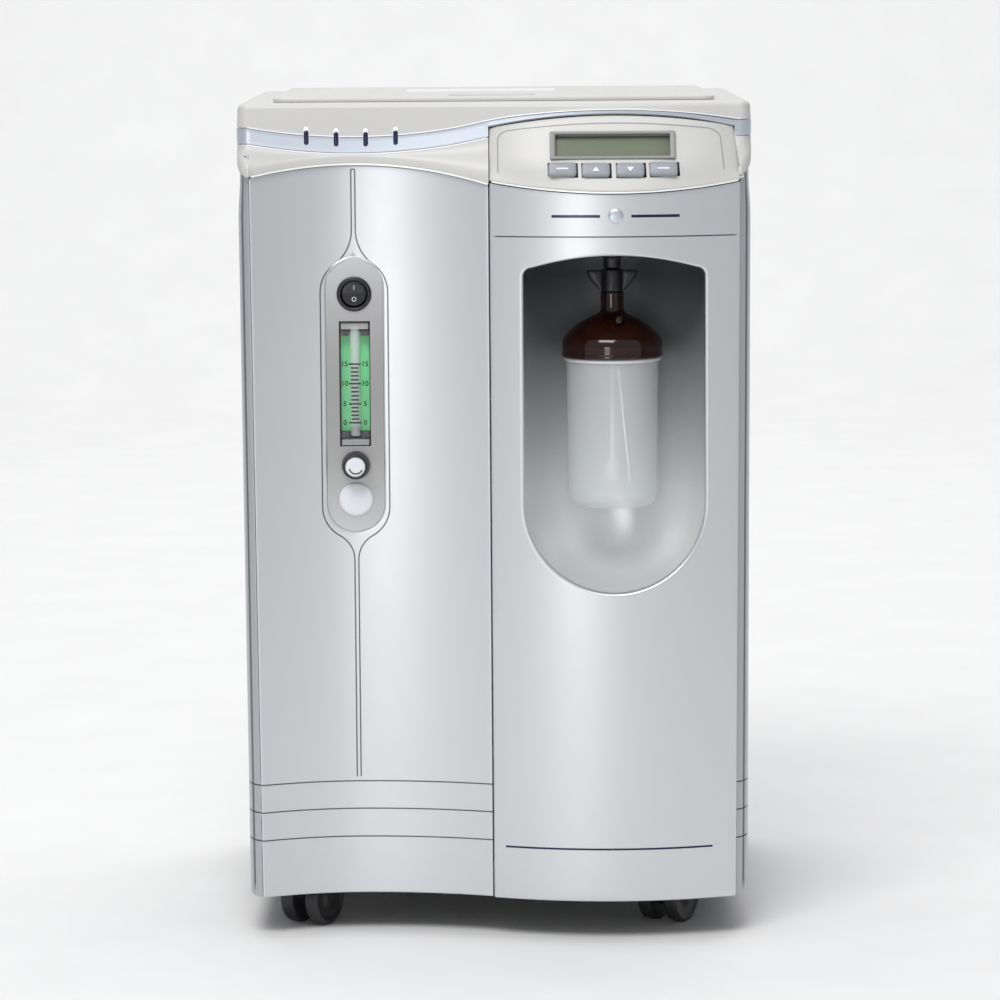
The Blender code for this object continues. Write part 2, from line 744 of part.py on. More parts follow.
def build_humidifier():
    centre = (BOTTLE_X, BOTTLE_Y, 0)
    turned(
        "outlet_spigot",
        [(0.0, 0.5100), (0.0062, 0.5100), (0.0062, 0.4772), (0.0050, 0.4772), (0.0, 0.4772)],
        "black",
        centre,
    )
    nut = turned(
        "wing_nut",
        [
            (0.0072, 0.4768),
            (0.0078, 0.4630),
            (0.0078, 0.4614),
            (0.0045, 0.4614),
            (0.0045, 0.4768),
        ],
        "black",
        centre,
    )
    for side in (-1, 1):
        wing = [(0.0055, 0.4622), (0.0092, 0.4622), (0.0178, 0.4722), (0.0182, 0.4764), (0.0055, 0.4764)]
        outline = [(BOTTLE_X + side * x, z) for x, z in wing]
        joined = flat(f"join_wing_{side}", [outline], BOTTLE_Y - 0.0022, BOTTLE_Y + 0.0022, "black")
        boolean(nut, joined, "UNION")
    turned(
        "humidifier_lid",
        [
            (0.0042, 0.4611),
            (0.0082, 0.4611),
            (0.0082, 0.4480),
            (0.0100, 0.4455),
            (0.0180, 0.4420),
            (0.0290, 0.4355),
            (0.0345, 0.4290),
            (0.0362, 0.4250),
            (0.0364, 0.4145),
            (0.0338, 0.4145),
            (0.0338, 0.4240),
            (0.0300, 0.4300),
            (0.0150, 0.4370),
            (0.0042, 0.4400),
        ],
        "brown",
        centre,
    )
    turned(
        "humidifier_bottle",
        [
            (0.0332, 0.4225),
            (0.0332, 0.4140),
            (0.0330, 0.4130),
            (0.0318, 0.3160),
            (0.0295, 0.3095),
            (0.0240, 0.3070),
            (0.0, 0.3070),
            (0.0, 0.3088),
            (0.0235, 0.3088),
            (0.0280, 0.3110),
            (0.0300, 0.3165),
            (0.0312, 0.4130),
            (0.0312, 0.4225),
        ],
        "frosted",
        centre,
    )
    turned(
        "dip_tube",
        [(0.0, 0.4600), (0.0038, 0.4600), (0.0038, 0.4400), (0.0030, 0.4390)]
        + [(0.0030, 0.3400), (0.0062, 0.3390), (0.0062, 0.3240), (0.0, 0.3240)],
        "frosted",
        centre,
        sides=16,
    )


# ---------------------------------------------------------------- rear fittings
def build_rear_fittings():
    near, far = REAR_Y - 0.0038, REAR_Y - 0.0008
    pivot = (-0.0650, REAR_Y - 0.0008, 0.420)
    door_holes = [slot_outline(-0.045 + 0.010 * i, 0.372, 0.468, 0.0022, 4) for i in range(10)]
    door = rectangle(-0.0655, 0.3535, 0.0655, 0.4865)
    flat("filter_door", [door, *door_holes], near, far, "silver", pivot)
    box("intake_filter", (-0.0600, near - 0.0145, 0.3600), (0.0600, near - GAP, 0.4800), "foam")
    low, high = (-0.1200, REAR_Y - 0.024, 0.0860), (-0.0920, REAR_Y - 0.0006, 0.1060)
    inlet = box("power_inlet", low, high, "black")
    boolean(
        inlet, box("cut_inlet", (-0.1180, REAR_Y - 0.016, 0.0880), (-0.0940, REAR_Y + 0.01, 0.1040), None)
    )
    cylinder(
        "breaker_button",
        0.0058,
        (-0.070, REAR_Y - 0.016, 0.096),
        (-0.070, REAR_Y, 0.096),
        "black",
        20,
        (-0.070, REAR_Y, 0.096),
    )


# ---------------------------------------------------------------- base and casters
def build_base_tray():
    """The chassis: a ribbed tray inside the panels, with a socket over each caster's stem."""
    half_x, front, rear = 0.1645, -0.1400, 0.1815
    tray = box("base_tray", (-half_x, front, TRAY_Z), (half_x, rear, TRAY_Z + 0.030), "black")
    hollow = box(
        "cut_tray",
        (-half_x + WALL, front + WALL, TRAY_Z + 0.004),
        (half_x - WALL, rear - WALL, 0.10),
        None,
    )
    boolean(tray, hollow)
    for name, (x, y) in CASTER_PLACES.items():
        low, high = ((x, y, TRAY_Z + rise) for rise in (0.002, 0.026))
        socket = cylinder(f"join_socket_{name}", 0.0095, low, high, "black", 16)
        boolean(tray, socket, "UNION")
    for name, (x, y) in CASTER_PLACES.items():
        hole = cylinder(f"cut_stem_{name}", 0.0053, (x, y, TRAY_Z - 0.01), (x, y, TRAY_Z + 0.023), None, 16)
        boolean(tray, hole)


def caster_frame(place):
    return Matrix.Translation((*place, 0)) @ Matrix.Rotation(CASTER_YAW, 4, "Z")


AXLE_OFFSET, WHEEL_NEAR, WHEEL_FAR, HOOD_HALF = 0.013, 0.0050, 0.0160, 0.0165


def build_caster(name, place):
    """A twin-wheel caster: a yoke with a stem, a hood and a fixed axle, and a wheel on each side."""
    frame = caster_frame(place)
    pivot = frame.translation

    def point(x, y, z):
        return frame @ Vector((x, y, z))

    yoke = cylinder(
        f"caster_{name}_yoke", 0.0049, point(0, 0, 0.038), point(0, 0, TRAY_Z + 0.021), "black", 16, pivot
    )
    low, high = point(0, 0, 0.0405), point(0, 0, TRAY_Z - 0.0006)
    collar = cylinder(f"join_collar_{name}", 0.0100, low, high, "black", 16)
    boolean(yoke, collar, "UNION")
    wheel_centre = (AXLE_OFFSET, WHEEL_R)
    outer, inner = WHEEL_R + 0.0026, WHEEL_R + 0.0008
    hood_arc = arc(wheel_centre, outer, 15, 150, 7) + arc(wheel_centre, inner, 150, 15, 7)
    hood = flat(f"join_hood_{name}", [hood_arc], -HOOD_HALF, HOOD_HALF, "black")
    web_arc = arc(wheel_centre, WHEEL_R + 0.0017, 15, 165, 7) + [(0.005, 0.016), (0.018, 0.012)]
    web = flat(f"join_web_{name}", [web_arc], -0.0040, 0.0040, "black")
    ends = ((AXLE_OFFSET, side * 0.0156, WHEEL_R) for side in (-1, 1))
    axle = cylinder(f"join_axle_{name}", 0.0026, *ends, "black", 12)
    quarter = Matrix.Rotation(-math.pi / 2, 4, "Z")
    for piece in (hood, web, axle):
        piece.matrix_world = frame @ quarter
        boolean(yoke, piece, "UNION")
    for side, label in ((-1, "left"), (1, "right")):
        build_wheel(f"caster_{name}_wheel_{label}", point, side)


def build_wheel(name, point, side):
    """A wheel with a rounded tread and a bore that runs on the yoke's axle."""
    near, far = WHEEL_NEAR, WHEEL_FAR
    profile = [
        (0.0030, near),
        (0.0190, near),
        (WHEEL_R, near + 0.0015),
        (WHEEL_R, far - 0.0035),
        (0.0175, far - 0.0006),
        (0.0030, far),
    ]
    bm = bmesh.new()
    centre = point(0, -AXLE_OFFSET, WHEEL_R)
    outward = (point(1, 0, 0) - point(0, 0, 0)) * side
    across = Vector((0, 0, 1))
    other = outward.cross(across)
    sides = 20
    spokes = [across * x + other * y for x, y in arc((0, 0), 1, 0, 360, sides)[:-1]]
    rings = [
        [bm.verts.new(centre + outward * height + spoke * radius) for spoke in spokes]
        for radius, height in profile
    ]
    for inner, outer in zip(rings, rings[1:] + rings[:1]):
        for i in range(sides):
            after = (i + 1) % sides
            bm.faces.new((inner[i], inner[after], outer[after], outer[i]))
    bmesh.ops.recalc_face_normals(bm, faces=bm.faces)
    add(name, mesh_of(name, bm), "rubber", centre)


# ---------------------------------------------------------------- machinery inside
def build_compressor():
    """A twin-cylinder oil-free compressor on a sprung cradle."""
    cx, cy, shaft_z = 0.010, 0.020, 0.150
    cradle_z = TRAY_Z + 0.004 + GAP
    low, high = (cx - 0.085, cy - 0.050, 0.0700), (cx + 0.085, cy + 0.050, 0.0730)
    cradle = box("compressor_cradle", low, high, "steel")
    for index, (sx, sy) in enumerate(((-1, -1), (1, -1), (-1, 1), (1, 1))):
        x, y = cx + sx * 0.072, cy + sy * 0.038
        foot = cylinder(f"join_foot_{index}", 0.010, (x, y, cradle_z), (x, y, 0.071), "rubber", 12)
        boolean(cradle, foot, "UNION")
    body = cylinder(
        "compressor_body", 0.052, (cx - 0.050, cy, shaft_z), (cx + 0.050, cy, shaft_z), "aluminium", 28
    )
    for side in (-1, 1):
        low = (min(cx + side * 0.048, cx + side * 0.088), cy - 0.034, 0.0733)
        high = (max(cx + side * 0.048, cx + side * 0.088), cy + 0.034, 0.2080)
        crankcase = box(f"join_crankcase_{side}", low, high, "aluminium", bevel=0.006)
        boolean(body, crankcase, "UNION")
    for side, label in ((-1, "left"), (1, "right")):
        x = cx + side * 0.068
        box(
            f"compressor_head_{label}",
            (x - 0.026, cy - 0.030, 0.2083),
            (x + 0.026, cy + 0.030, 0.2330),
            "aluminium",
            bevel=0.003,
        )


def build_gas_circuit():
    """Sieve beds, product tank, switching valves, exhaust muffler and after-cooler."""
    bed_x, bed_ys, bed_r = -0.126, (0.030, 0.120), 0.0375
    low, high = TRAY_Z + 0.030, 0.4450
    for label, y in zip(("front", "rear"), bed_ys):
        turned(
            f"sieve_bed_{label}",
            [
                (0.0, high + 0.012),
                (0.012, high + 0.012),
                (0.012, high),
                (bed_r + 0.003, high),
                (bed_r + 0.003, high - 0.018),
                (bed_r, high - 0.018),
                (bed_r, low + 0.018),
                (bed_r + 0.003, low + 0.018),
                (bed_r + 0.003, low),
                (0.0, low),
            ],
            "aluminium",
            (bed_x, y, 0),
        )
    middle = sum(bed_ys) / 2
    low, high = (bed_x - 0.022, middle - 0.070, 0.4574), (bed_x + 0.022, middle + 0.070, 0.4860)
    block = box("valve_block", low, high, "aluminium")
    for index in range(4):
        y = middle - 0.051 + 0.034 * index
        coil = cylinder(f"join_solenoid_{index}", 0.0115, (bed_x, y, 0.485), (bed_x, y, 0.518), "black", 14)
        boolean(block, coil, "UNION")
    tank = turned(
        "product_tank",
        [
            (0.0, 0.290),
            (0.007, 0.290),
            (0.007, 0.276),
            (0.026, 0.272),
            (0.034, 0.260),
            (0.034, 0.098),
            (0.026, 0.086),
            (0.0, TRAY_Z + 0.031),
        ],
        "white",
        (0.132, 0.135, 0),
    )
    regulator = cylinder("join_regulator", 0.011, (0.132, 0.135, 0.281), (0.132, 0.105, 0.281), "white", 14)
    boolean(tank, regulator, "UNION")
    cylinder("exhaust_muffler", 0.021, (-0.060, 0.150, 0.085), (0.060, 0.150, 0.085), "white", 20)
    build_cooling_coil()


def build_cooling_coil():
    """The after-cooler: one copper tube wound in a level spiral under the fan."""
    turns, per_turn, tube = 3, 12, 0.0034
    centre, inner, pitch = Vector((0.010, 0.020, 0.2480)), 0.026, 0.0085
    curve = bpy.data.curves.new("cooling_coil", "CURVE")
    curve.dimensions = "3D"
    curve.bevel_depth = tube
    curve.bevel_resolution = 2
    curve.use_fill_caps = True
    spline = curve.splines.new("POLY")
    count = turns * per_turn + 1
    spline.points.add(count - 1)
    for i, point in enumerate(spline.points):
        angle = 2 * math.pi * i / per_turn
        radius = inner + pitch * i / per_turn
        point.co = (*(centre + Vector((radius * math.cos(angle), radius * math.sin(angle), 0))), 1)
    drawn = bpy.data.objects.new("cooling_coil", curve)
    PARTS.objects.link(drawn)
    baked(drawn, "copper", Vector((0, 0, 0)))


def build_fan():
    """The shelf that carries the fan, and the fan's rotor, blowing down on the compressor."""
    cx, cy, z = 0.010, 0.020, 0.3060
    shelf = box("fan_shelf", (-0.075, -0.066, z), (0.160, 0.178, z + WALL), "white")
    shroud = cylinder("join_shroud", 0.060, (cx, cy, z - 0.022), (cx, cy, z + 0.001), "white", 28)
    boolean(shelf, shroud, "UNION")
    boolean(shelf, cylinder("cut_shroud", 0.0565, (cx, cy, z - 0.05), (cx, cy, z + 0.05), None, 28))
    low, high = (cx - 0.0585, cy - 0.004, z - 0.0218), (cx + 0.0585, cy + 0.004, z - 0.0185)
    strut = box("join_strut", low, high, "white")
    boolean(shelf, strut, "UNION")
    hub_low = z - 0.0180
    rotor = cylinder("fan_rotor", 0.0200, (cx, cy, hub_low), (cx, cy, z), "black", 20, (cx, cy, hub_low))
    for index in range(7):
        turn = Matrix.Rotation(2 * math.pi * index / 7, 4, "Z")
        lean = Matrix.Rotation(math.radians(38), 4, "X")
        bm = bmesh.new()
        bmesh.ops.create_cube(bm, size=1)
        bm.transform(
            Matrix.Translation((cx, cy, hub_low + 0.009))
            @ turn
            @ Matrix.Translation((0.0365, 0, 0))
            @ lean
            @ Matrix.Diagonal((0.0360, 0.0200, 0.0016, 1))
        )
        boolean(rotor, add(f"join_blade_{index}", mesh_of("blade", bm), "black"), "UNION")


def build_control_board():
    board = box("control_board", (0.030, -0.0690, 0.3400), (0.150, -0.0672, 0.4550), "board")
    parts = (
        ((0.045, 0.060), (0.36, 0.39), 0.030),
        ((0.075, 0.105), (0.36, 0.40), 0.022),
        ((0.115, 0.140), (0.37, 0.44), 0.016),
        ((0.045, 0.095), (0.42, 0.44), 0.012),
    )
    for index, (xs, zs, tall) in enumerate(parts):
        piece = box(f"join_part_{index}", (xs[0], -0.068, zs[0]), (xs[1], -0.068 + tall, zs[1]), "board")
        boolean(board, piece, "UNION")


# ---------------------------------------------------------------- the whole machine
def main():
    build_left_front_panel()
    build_right_front_panel()
    build_side_panel(-1, "left_side_panel")
    build_side_panel(1, "right_side_panel")
    build_rear_panel()
    build_top_cover()
    build_accent_band()
    build_indicator_light_pipes()
    build_display_console()
    build_screen_and_keys()
    build_top_lid()
    build_control_insert()
    build_power_switch()
    build_flowmeter()
    build_port_cap()
    build_humidifier_niche()
    build_humidifier()
    build_rear_fittings()
    build_base_tray()
    for name, place in CASTER_PLACES.items():
        build_caster(name, place)
    build_compressor()
    build_gas_circuit()
    build_fan()
    build_control_board()
    bpy.context.view_layer.update()


main()
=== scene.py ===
# %% [markdown]
# # A stationary oxygen concentrator, dressed for its picture
# The frame holds the CAD model: sixty solids in metres, on the bodies that its joints move. They are right in
# size and place but plain. This lesson gives each one a finish, and puts a finer skin over those that show.
# Every new skin is a grid of points worked out with numpy. That way was chosen over modelling by hand because
# the cabinet's faces are exact curves, and a formula keeps seams, grooves and lips on them.

import json
import math

import bmesh
import bpy
import numpy as np
from mathutils import Matrix, Vector

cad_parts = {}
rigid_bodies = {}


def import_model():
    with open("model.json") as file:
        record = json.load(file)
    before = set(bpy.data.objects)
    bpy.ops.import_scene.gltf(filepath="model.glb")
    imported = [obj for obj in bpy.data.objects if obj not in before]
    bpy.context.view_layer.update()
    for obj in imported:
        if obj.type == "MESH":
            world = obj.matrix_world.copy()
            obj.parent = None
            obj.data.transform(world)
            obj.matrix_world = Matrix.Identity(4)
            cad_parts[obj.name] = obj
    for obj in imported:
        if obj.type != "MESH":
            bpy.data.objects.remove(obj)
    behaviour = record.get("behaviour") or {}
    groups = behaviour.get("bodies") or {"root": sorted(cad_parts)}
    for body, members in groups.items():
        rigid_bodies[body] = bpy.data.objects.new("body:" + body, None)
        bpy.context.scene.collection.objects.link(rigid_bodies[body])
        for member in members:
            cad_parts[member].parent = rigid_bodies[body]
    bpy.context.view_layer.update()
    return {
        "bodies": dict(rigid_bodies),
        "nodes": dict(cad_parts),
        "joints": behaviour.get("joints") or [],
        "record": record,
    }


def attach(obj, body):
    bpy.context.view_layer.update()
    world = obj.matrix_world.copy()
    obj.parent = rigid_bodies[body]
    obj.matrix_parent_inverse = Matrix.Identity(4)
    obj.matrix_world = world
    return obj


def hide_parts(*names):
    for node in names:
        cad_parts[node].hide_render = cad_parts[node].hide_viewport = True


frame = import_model()

# %% [markdown]
# ## The camera
# A long lens from over three metres away keeps the cabinet's sides nearly parallel, as a product picture does.
# The camera comes first because everything after it is judged through it.

# %% Camera
camera = bpy.data.objects.new("camera", bpy.data.cameras.new("camera"))
bpy.context.collection.objects.link(camera)
camera.data.lens, camera.data.sensor_width = 157.2, 36.0
camera.matrix_world = (
    Matrix.Translation((0.0025, -3.248, 0.690))
    @ Matrix.Rotation(math.pi / 2 - 0.1208, 4, "X")
    @ Matrix.Rotation(-0.0070, 4, "Z")
)
bpy.context.scene.camera = camera
print("camera lens", camera.data.lens)

# %% [markdown]
# ## The cabinet's measures
# A skin has to lie where its solid lies, so the measures of the CAD model are given again here, in metres. The
# front is a wave: the left panel is hollow, the right one bulges, and both are parabolas across the width.

# %% Measures of the cabinet
WIDTH, REAR_Y = 0.365, 0.1875
SKIRT_Z, CAP_SIDE_Z, CAP_TOP_Z = 0.0285, 0.546, 0.5970
EDGE_HALF, DRAFT, EDGE_Y = 0.1735, 0.0068, -0.1650
SEAM_X, WAVE, HOLLOW_X, PROUD = -0.0034, 0.0175, -0.0985, 0.003
WINDOW_X, WINDOW_HALF, WINDOW_ROUND_Z = 0.084, 0.064, 0.3147
WINDOW_SHOULDER_Z, WINDOW_TOP_Z = 0.4815, 0.4900
CONTROL_X, INSERT_Y = -0.1003, -0.1479
BOTTLE_X, BOTTLE_Y = 0.0838, -0.126
LEVEL_LINES = (0.0700, 0.0904, 0.1105)  # three grooves round the foot of the cabinet


def smooth(t):
    """0 up to 0, 1 from 1 on, and an S-curve between."""
    t = np.clip(t, 0, 1)
    return t * t * (3 - 2 * t)


def mix(a, b, t):
    return a + (b - a) * t


def half_width(z):
    """Half width across the front: it shrinks by DRAFT metres for each metre down."""
    return EDGE_HALF - DRAFT * (CAP_SIDE_Z - z)


def left_panel_y(x, z):
    """A hollow: deepest at HOLLOW_X, and forward again with the square of the way to either edge."""
    reach = np.where(x < HOLLOW_X, half_width(z) + HOLLOW_X, SEAM_X - HOLLOW_X)
    return EDGE_Y + WAVE * (1 - ((x - HOLLOW_X) / reach) ** 2)


def right_panel_y(x, z):
    """A bulge: furthest forward in the middle, and back with the square of the way to either edge."""
    middle, half = (SEAM_X + half_width(z)) / 2, (half_width(z) - SEAM_X) / 2
    return EDGE_Y - PROUD - WAVE * (1 - ((x - middle) / half) ** 2)


def cap_low_z(x):
    return 0.5546 - 1.55 * (x + 0.100) ** 2


def console_low_z(x):
    return 0.5349 + 1.0 * (x - 0.085) ** 2


def console_high_z(x):
    return 0.5875 - 1.1 * (x - 0.084) ** 2


print("the front runs back and forth by", 2 * WAVE, "m")

# %% [markdown]
# ## From arrays to pieces
# A patch is a grid of points with the faces between them. Several patches can be laid edge to edge, welded, and
# turned back along their open edges, the way a moulded panel has a rim. A fourth value on each point, the
# line mark, says how much of the point lies in an engraved line, and the paint darkens it there: painted shade
# in the grooves.

# %% Patches and skins
def patch(points, around=False, loop=False, keep=None):
    """Points (rows, columns, 3 or 4) as vertices and faces. around joins the last column to the first, loop the
    last row to the first, and keep (rows - 1, columns - 1) leaves faces out where it is False."""
    points = np.asarray(points, float)
    if points.shape[-1] == 3:
        points = np.concatenate([points, np.zeros((*points.shape[:2], 1))], -1)
    number = np.arange(points.shape[0] * points.shape[1]).reshape(points.shape[:2])
    if around:
        number = np.hstack([number, number[:, :1]])
    if loop:
        number = np.vstack([number, number[:1]])
    faces = np.stack([number[:-1, :-1], number[:-1, 1:], number[1:, 1:], number[1:, :-1]], -1)
    faces = faces.reshape(-1, 4) if keep is None else faces[keep]
    return points.reshape(-1, 4), faces


def facing(points, direction):
    """The same grid with its rows turned over if its faces look away from direction."""
    across = points[:-1, 1:, :3] - points[:-1, :-1, :3]
    up = points[1:, :-1, :3] - points[:-1, :-1, :3]
    return points if np.cross(across, up).sum((0, 1)) @ np.array(direction) > 0 else points[::-1]


def dress(piece, look, body, stands_for):
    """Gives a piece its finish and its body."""
    piece.data.materials.clear()
    piece.data.materials.append(FINISHES[look])
    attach(piece, body)
    if stands_for:
        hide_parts(*stands_for)
    return piece


def skin(name, patches, look, body="cabinet", stands_for=(), turn=None, wall=0.0, closed=False, sharp=38):
    """One piece of welded patches. turn moves a copy of the open edge there, and wall gives it a thickness."""
    counts = np.cumsum([0] + [len(points) for points, faces in patches])
    points = np.concatenate([points for points, faces in patches])
    faces = np.concatenate([faces + first for (_, faces), first in zip(patches, counts)])
    mesh = bpy.data.meshes.new(name)
    mesh.from_pydata(points[:, :3], [], faces)
    mesh.attributes.new("line", "FLOAT", "POINT").data.foreach_set("value", points[:, 3])
    bm = bmesh.new()
    bm.from_mesh(mesh)
    bmesh.ops.remove_doubles(bm, verts=bm.verts, dist=0.00002)
    bmesh.ops.dissolve_degenerate(bm, edges=bm.edges, dist=0.00001)
    if turn is not None:
        rim = [edge for edge in bm.edges if edge.is_boundary]
        turned = bmesh.ops.extrude_edge_only(bm, edges=rim)["geom"]
        bmesh.ops.translate(bm, verts=[v for v in turned if isinstance(v, bmesh.types.BMVert)], vec=turn)
    if closed:
        bmesh.ops.recalc_face_normals(bm, faces=bm.faces)
    bm.to_mesh(mesh)
    bm.free()
    mesh.shade_smooth()
    mesh.set_sharp_from_angle(angle=math.radians(sharp))
    piece = bpy.data.objects.new(name, mesh)
    bpy.context.collection.objects.link(piece)
    if wall:
        solidify = piece.modifiers.new("wall", "SOLIDIFY")
        solidify.thickness, solidify.offset = wall, -1
    return dress(piece, look, body, stands_for)


def roll(distance, radius):
    """How far a rounded edge falls back at a distance from the edge: the radius at the edge, 0 beyond it."""
    short = 1 - np.clip(distance / radius, 0, 1)
    return radius * (1 - np.sqrt(1 - short**2))


def column(*parts):
    return np.concatenate([np.atleast_1d(np.asarray(part, float)) for part in parts])


def turned_points(profile, centre, axis="z", sides=96):
    """A profile of (radius, height) carried round an axis. Height runs up, or towards the front for "y"."""
    radius, height = np.asarray(profile, float).T[:, :, None]
    angle = np.linspace(0, 2 * np.pi, sides, endpoint=False)[None, :]
    level = height + 0 * angle
    if axis == "z":
        local = (radius * np.cos(angle), radius * np.sin(angle), level)
    elif axis == "y":
        local = (radius * np.cos(angle), -level, radius * np.sin(angle))
    return np.stack(local, -1) + np.asarray(centre)


def eased(profile, radius=0.0006, steps=4):
    """The profile with each corner replaced by a short curve that starts up to radius away from it."""
    profile = np.asarray(profile, float)
    here, before, after = profile[1:-1], profile[:-2], profile[2:]
    t = np.linspace(0, 1, steps + 1)[None, :, None]

    def towards(other):
        way = other - here
        length = np.linalg.norm(way, axis=1, keepdims=True)
        return here + way * np.minimum(radius / length, 0.45)

    start, end = towards(before)[:, None], towards(after)[:, None]
    curve = (1 - t) ** 2 * start + 2 * t * (1 - t) * here[:, None] + t**2 * end
    return np.vstack([profile[:1], curve.reshape(-1, 2), profile[-1:]])


EDGE_STEPS = np.array([0, 0.0001, 0.0004, 0.0008, 0.0012])  # distances from an edge that is rolled
print("a rolled edge of 1.2 mm falls back", [round(float(d) * 1e3, 2) for d in roll(EDGE_STEPS, 0.0012)], "mm")

# %% [markdown]
# ## Finishes
# A material is a small program. The class below keeps its sums readable: a socket that knows how to add,
# subtract and multiply makes the Math nodes by itself, and one method adds any other node.

# %% Sockets and finishes
class Socket:
    """An output of a node, on which sums add Math nodes."""

    def __init__(self, finish, link):
        self.finish, self.link = finish, link

    def sum(self, operation, first, second):
        return self.finish.node("ShaderNodeMath", {"operation": operation}, {0: first, 1: second})

    def __add__(self, other):
        return self.sum("ADD", self, other)

    def __sub__(self, other):
        return self.sum("SUBTRACT", self, other)

    def __rsub__(self, other):
        return self.sum("SUBTRACT", other, self)

    def __mul__(self, other):
        return self.sum("MULTIPLY", self, other)

    __radd__, __rmul__ = __add__, __mul__


class Finish:
    """A material with one Principled shader, and the means to feed it."""

    def __init__(self, name, **values):
        self.material = bpy.data.materials.new(name)
        self.material.use_nodes = True
        self.tree = self.material.node_tree
        self.shader = self.tree.nodes["Principled BSDF"]
        self.feed(**values)
        self.place = self.node("ShaderNodeTexCoord", {}, {}, "Object")

    def feed(self, **values):
        """Sets or links the shader's sockets. base_color stands for Base Color, and so on."""
        for key, value in values.items():
            socket = self.shader.inputs[key.replace("_", " ").title().replace("Ior", "IOR")]
            if isinstance(value, Socket):
                self.tree.links.new(value.link, socket)
            else:
                socket.default_value = (*value, 1) if socket.type == "RGBA" else value

    def node(self, kind, settings, inputs, out=0):
        """A node with its settings made first and then its sockets. stops are a colour ramp's."""
        made = self.tree.nodes.new(kind)
        for key, value in settings.items():
            if key == "stops":
                ramp = made.color_ramp.elements
                while len(ramp) < len(value):
                    ramp.new(0.5)
                for stop, (position, colour) in zip(ramp, value):
                    stop.position, stop.color = position, (*colour, 1)
            else:
                setattr(made, key, value)
        for key, value in inputs.items():
            if isinstance(value, Socket):
                self.tree.links.new(value.link, made.inputs[key])
            else:
                socket = made.inputs[key]
                socket.default_value = (*value, 1) if socket.type == "RGBA" else value
        return Socket(self, made.outputs[out])

    def noise(self, scale, detail=2.0, roughness=0.5):
        return self.node(
            "ShaderNodeTexNoise", {}, {"Vector": self.place, "Scale": scale, "Detail": detail, "Roughness": roughness}
        )

    def between(self, mask, first, second):
        """The colour first where mask is 0 and second where it is 1."""
        return self.node(
            "ShaderNodeMix", {"data_type": "RGBA", "clamp_factor": True}, {0: mask, 6: first, 7: second}, 2
        )

    def heights(self, axis):
        """One of the three object coordinates, in metres."""
        return self.node("ShaderNodeSeparateXYZ", {}, {0: self.place}, axis)

    def bump(self, height, strength, distance):
        normal = self.node(
            "ShaderNodeBump", {}, {"Height": height, "Strength": strength, "Distance": distance}, "Normal"
        )
        self.feed(normal=normal)


FINISHES = {}


def darker(colour, by):
    return tuple(part * by for part in colour)


def metallic_paint(name, colour, roughness, metallic=0.75, flake=0.10, coat=0.25):
    """Silver paint: flakes half a millimetre apart catch the light one by one, under a thin clear coat."""
    paint = Finish(name, metallic=metallic, coat_weight=coat, coat_roughness=0.22)
    flakes = paint.noise(2100.0, 1.0)
    clouds = paint.noise(7.0, 3.0)
    tone = paint.between(flakes * flake * 2 + (0.5 - flake), darker(colour, 0.90), darker(colour, 1.10))
    tone = paint.between((clouds - 0.5) * 0.8 + 0.25, tone, darker(colour, 1.02))
    # Points in an engraved line are painted nearly black: painted shade in the grooves.
    line = paint.node("ShaderNodeAttribute", {"attribute_name": "line"}, {}, "Fac")
    paint.feed(base_color=paint.between(line * 0.88, tone, darker(colour, 0.16)))
    paint.feed(roughness=roughness + 0.05 * (paint.noise(18.0, 4.0) - 0.5) + 0.06 * (flakes - 0.5))
    paint.bump(paint.noise(650.0, 2.0), 0.10, 0.00012)
    FINISHES[name] = paint.material


metallic_paint("front_panel", (0.655, 0.665, 0.68), 0.36)
metallic_paint("side_panel", (0.46, 0.47, 0.49), 0.42, 0.65, 0.10, 0.1)
metallic_paint("accent_band", (0.60, 0.645, 0.715), 0.36, 0.80)

# The alcove's shading is painted in by height: nearly black under its roof and pale at its foot.
alcove = Finish("niche", metallic=0.45)
depth = (0.470 - alcove.heights("Z")) * 6.6
grain = alcove.noise(1900.0, 1.0)
thin = alcove.between(depth, (0.10, 0.107, 0.120), (0.86, 0.87, 0.86))
alcove.feed(base_color=alcove.between(grain * 0.25, thin, (0.30, 0.31, 0.32)), roughness=0.34 + 0.08 * (grain - 0.5))
alcove.bump(alcove.noise(650.0, 2.0), 0.10, 0.00012)
FINISHES["niche"] = alcove.material
# The pill-shaped insert is painted paler towards its two round ends, by the square of the distance in height:
# a painted highlight for the light falling on its curved face, with a little flake tone.
insert = Finish("insert", metallic=0.55)
flakes, height = insert.noise(2200.0, 1.0), insert.heights("Z") - 0.3903
painted_sheen_and_flakes = height * height * 70.0 + flakes * 0.10
insert.feed(base_color=insert.between(painted_sheen_and_flakes, (0.29, 0.285, 0.285), (0.60, 0.605, 0.61)),
            roughness=0.38 + 0.06 * (flakes - 0.5))
FINISHES["insert"] = insert.material
bezel = Finish("bezel", roughness=0.42)
bezel.feed(base_color=bezel.between(bezel.noise(900.0, 2.0), (0.225, 0.225, 0.215), (0.275, 0.275, 0.265)))
FINISHES["bezel"] = bezel.material
# Painted highlights: the white of the bright strips laid along the seams. The lamp rims and the feed tube use it too.
painted_highlight_white = Finish("bright_edge", metallic=0.2)
fine = painted_highlight_white.noise(900.0, 2.0)
painted_highlight_white.feed(base_color=painted_highlight_white.between(fine, (0.90, 0.91, 0.92), (0.97, 0.97, 0.97)), roughness=0.35)
FINISHES["bright_edge"] = painted_highlight_white.material
print("paints:", sorted(FINISHES))

# %% [markdown]
# Moulded plastic has no flakes. Its skin is a copy of the mould's: a fine spark-eroded grain on the cap and
# the rear, and nearly none on the glossy pieces. Grain is bump and a little roughness, never a picture.

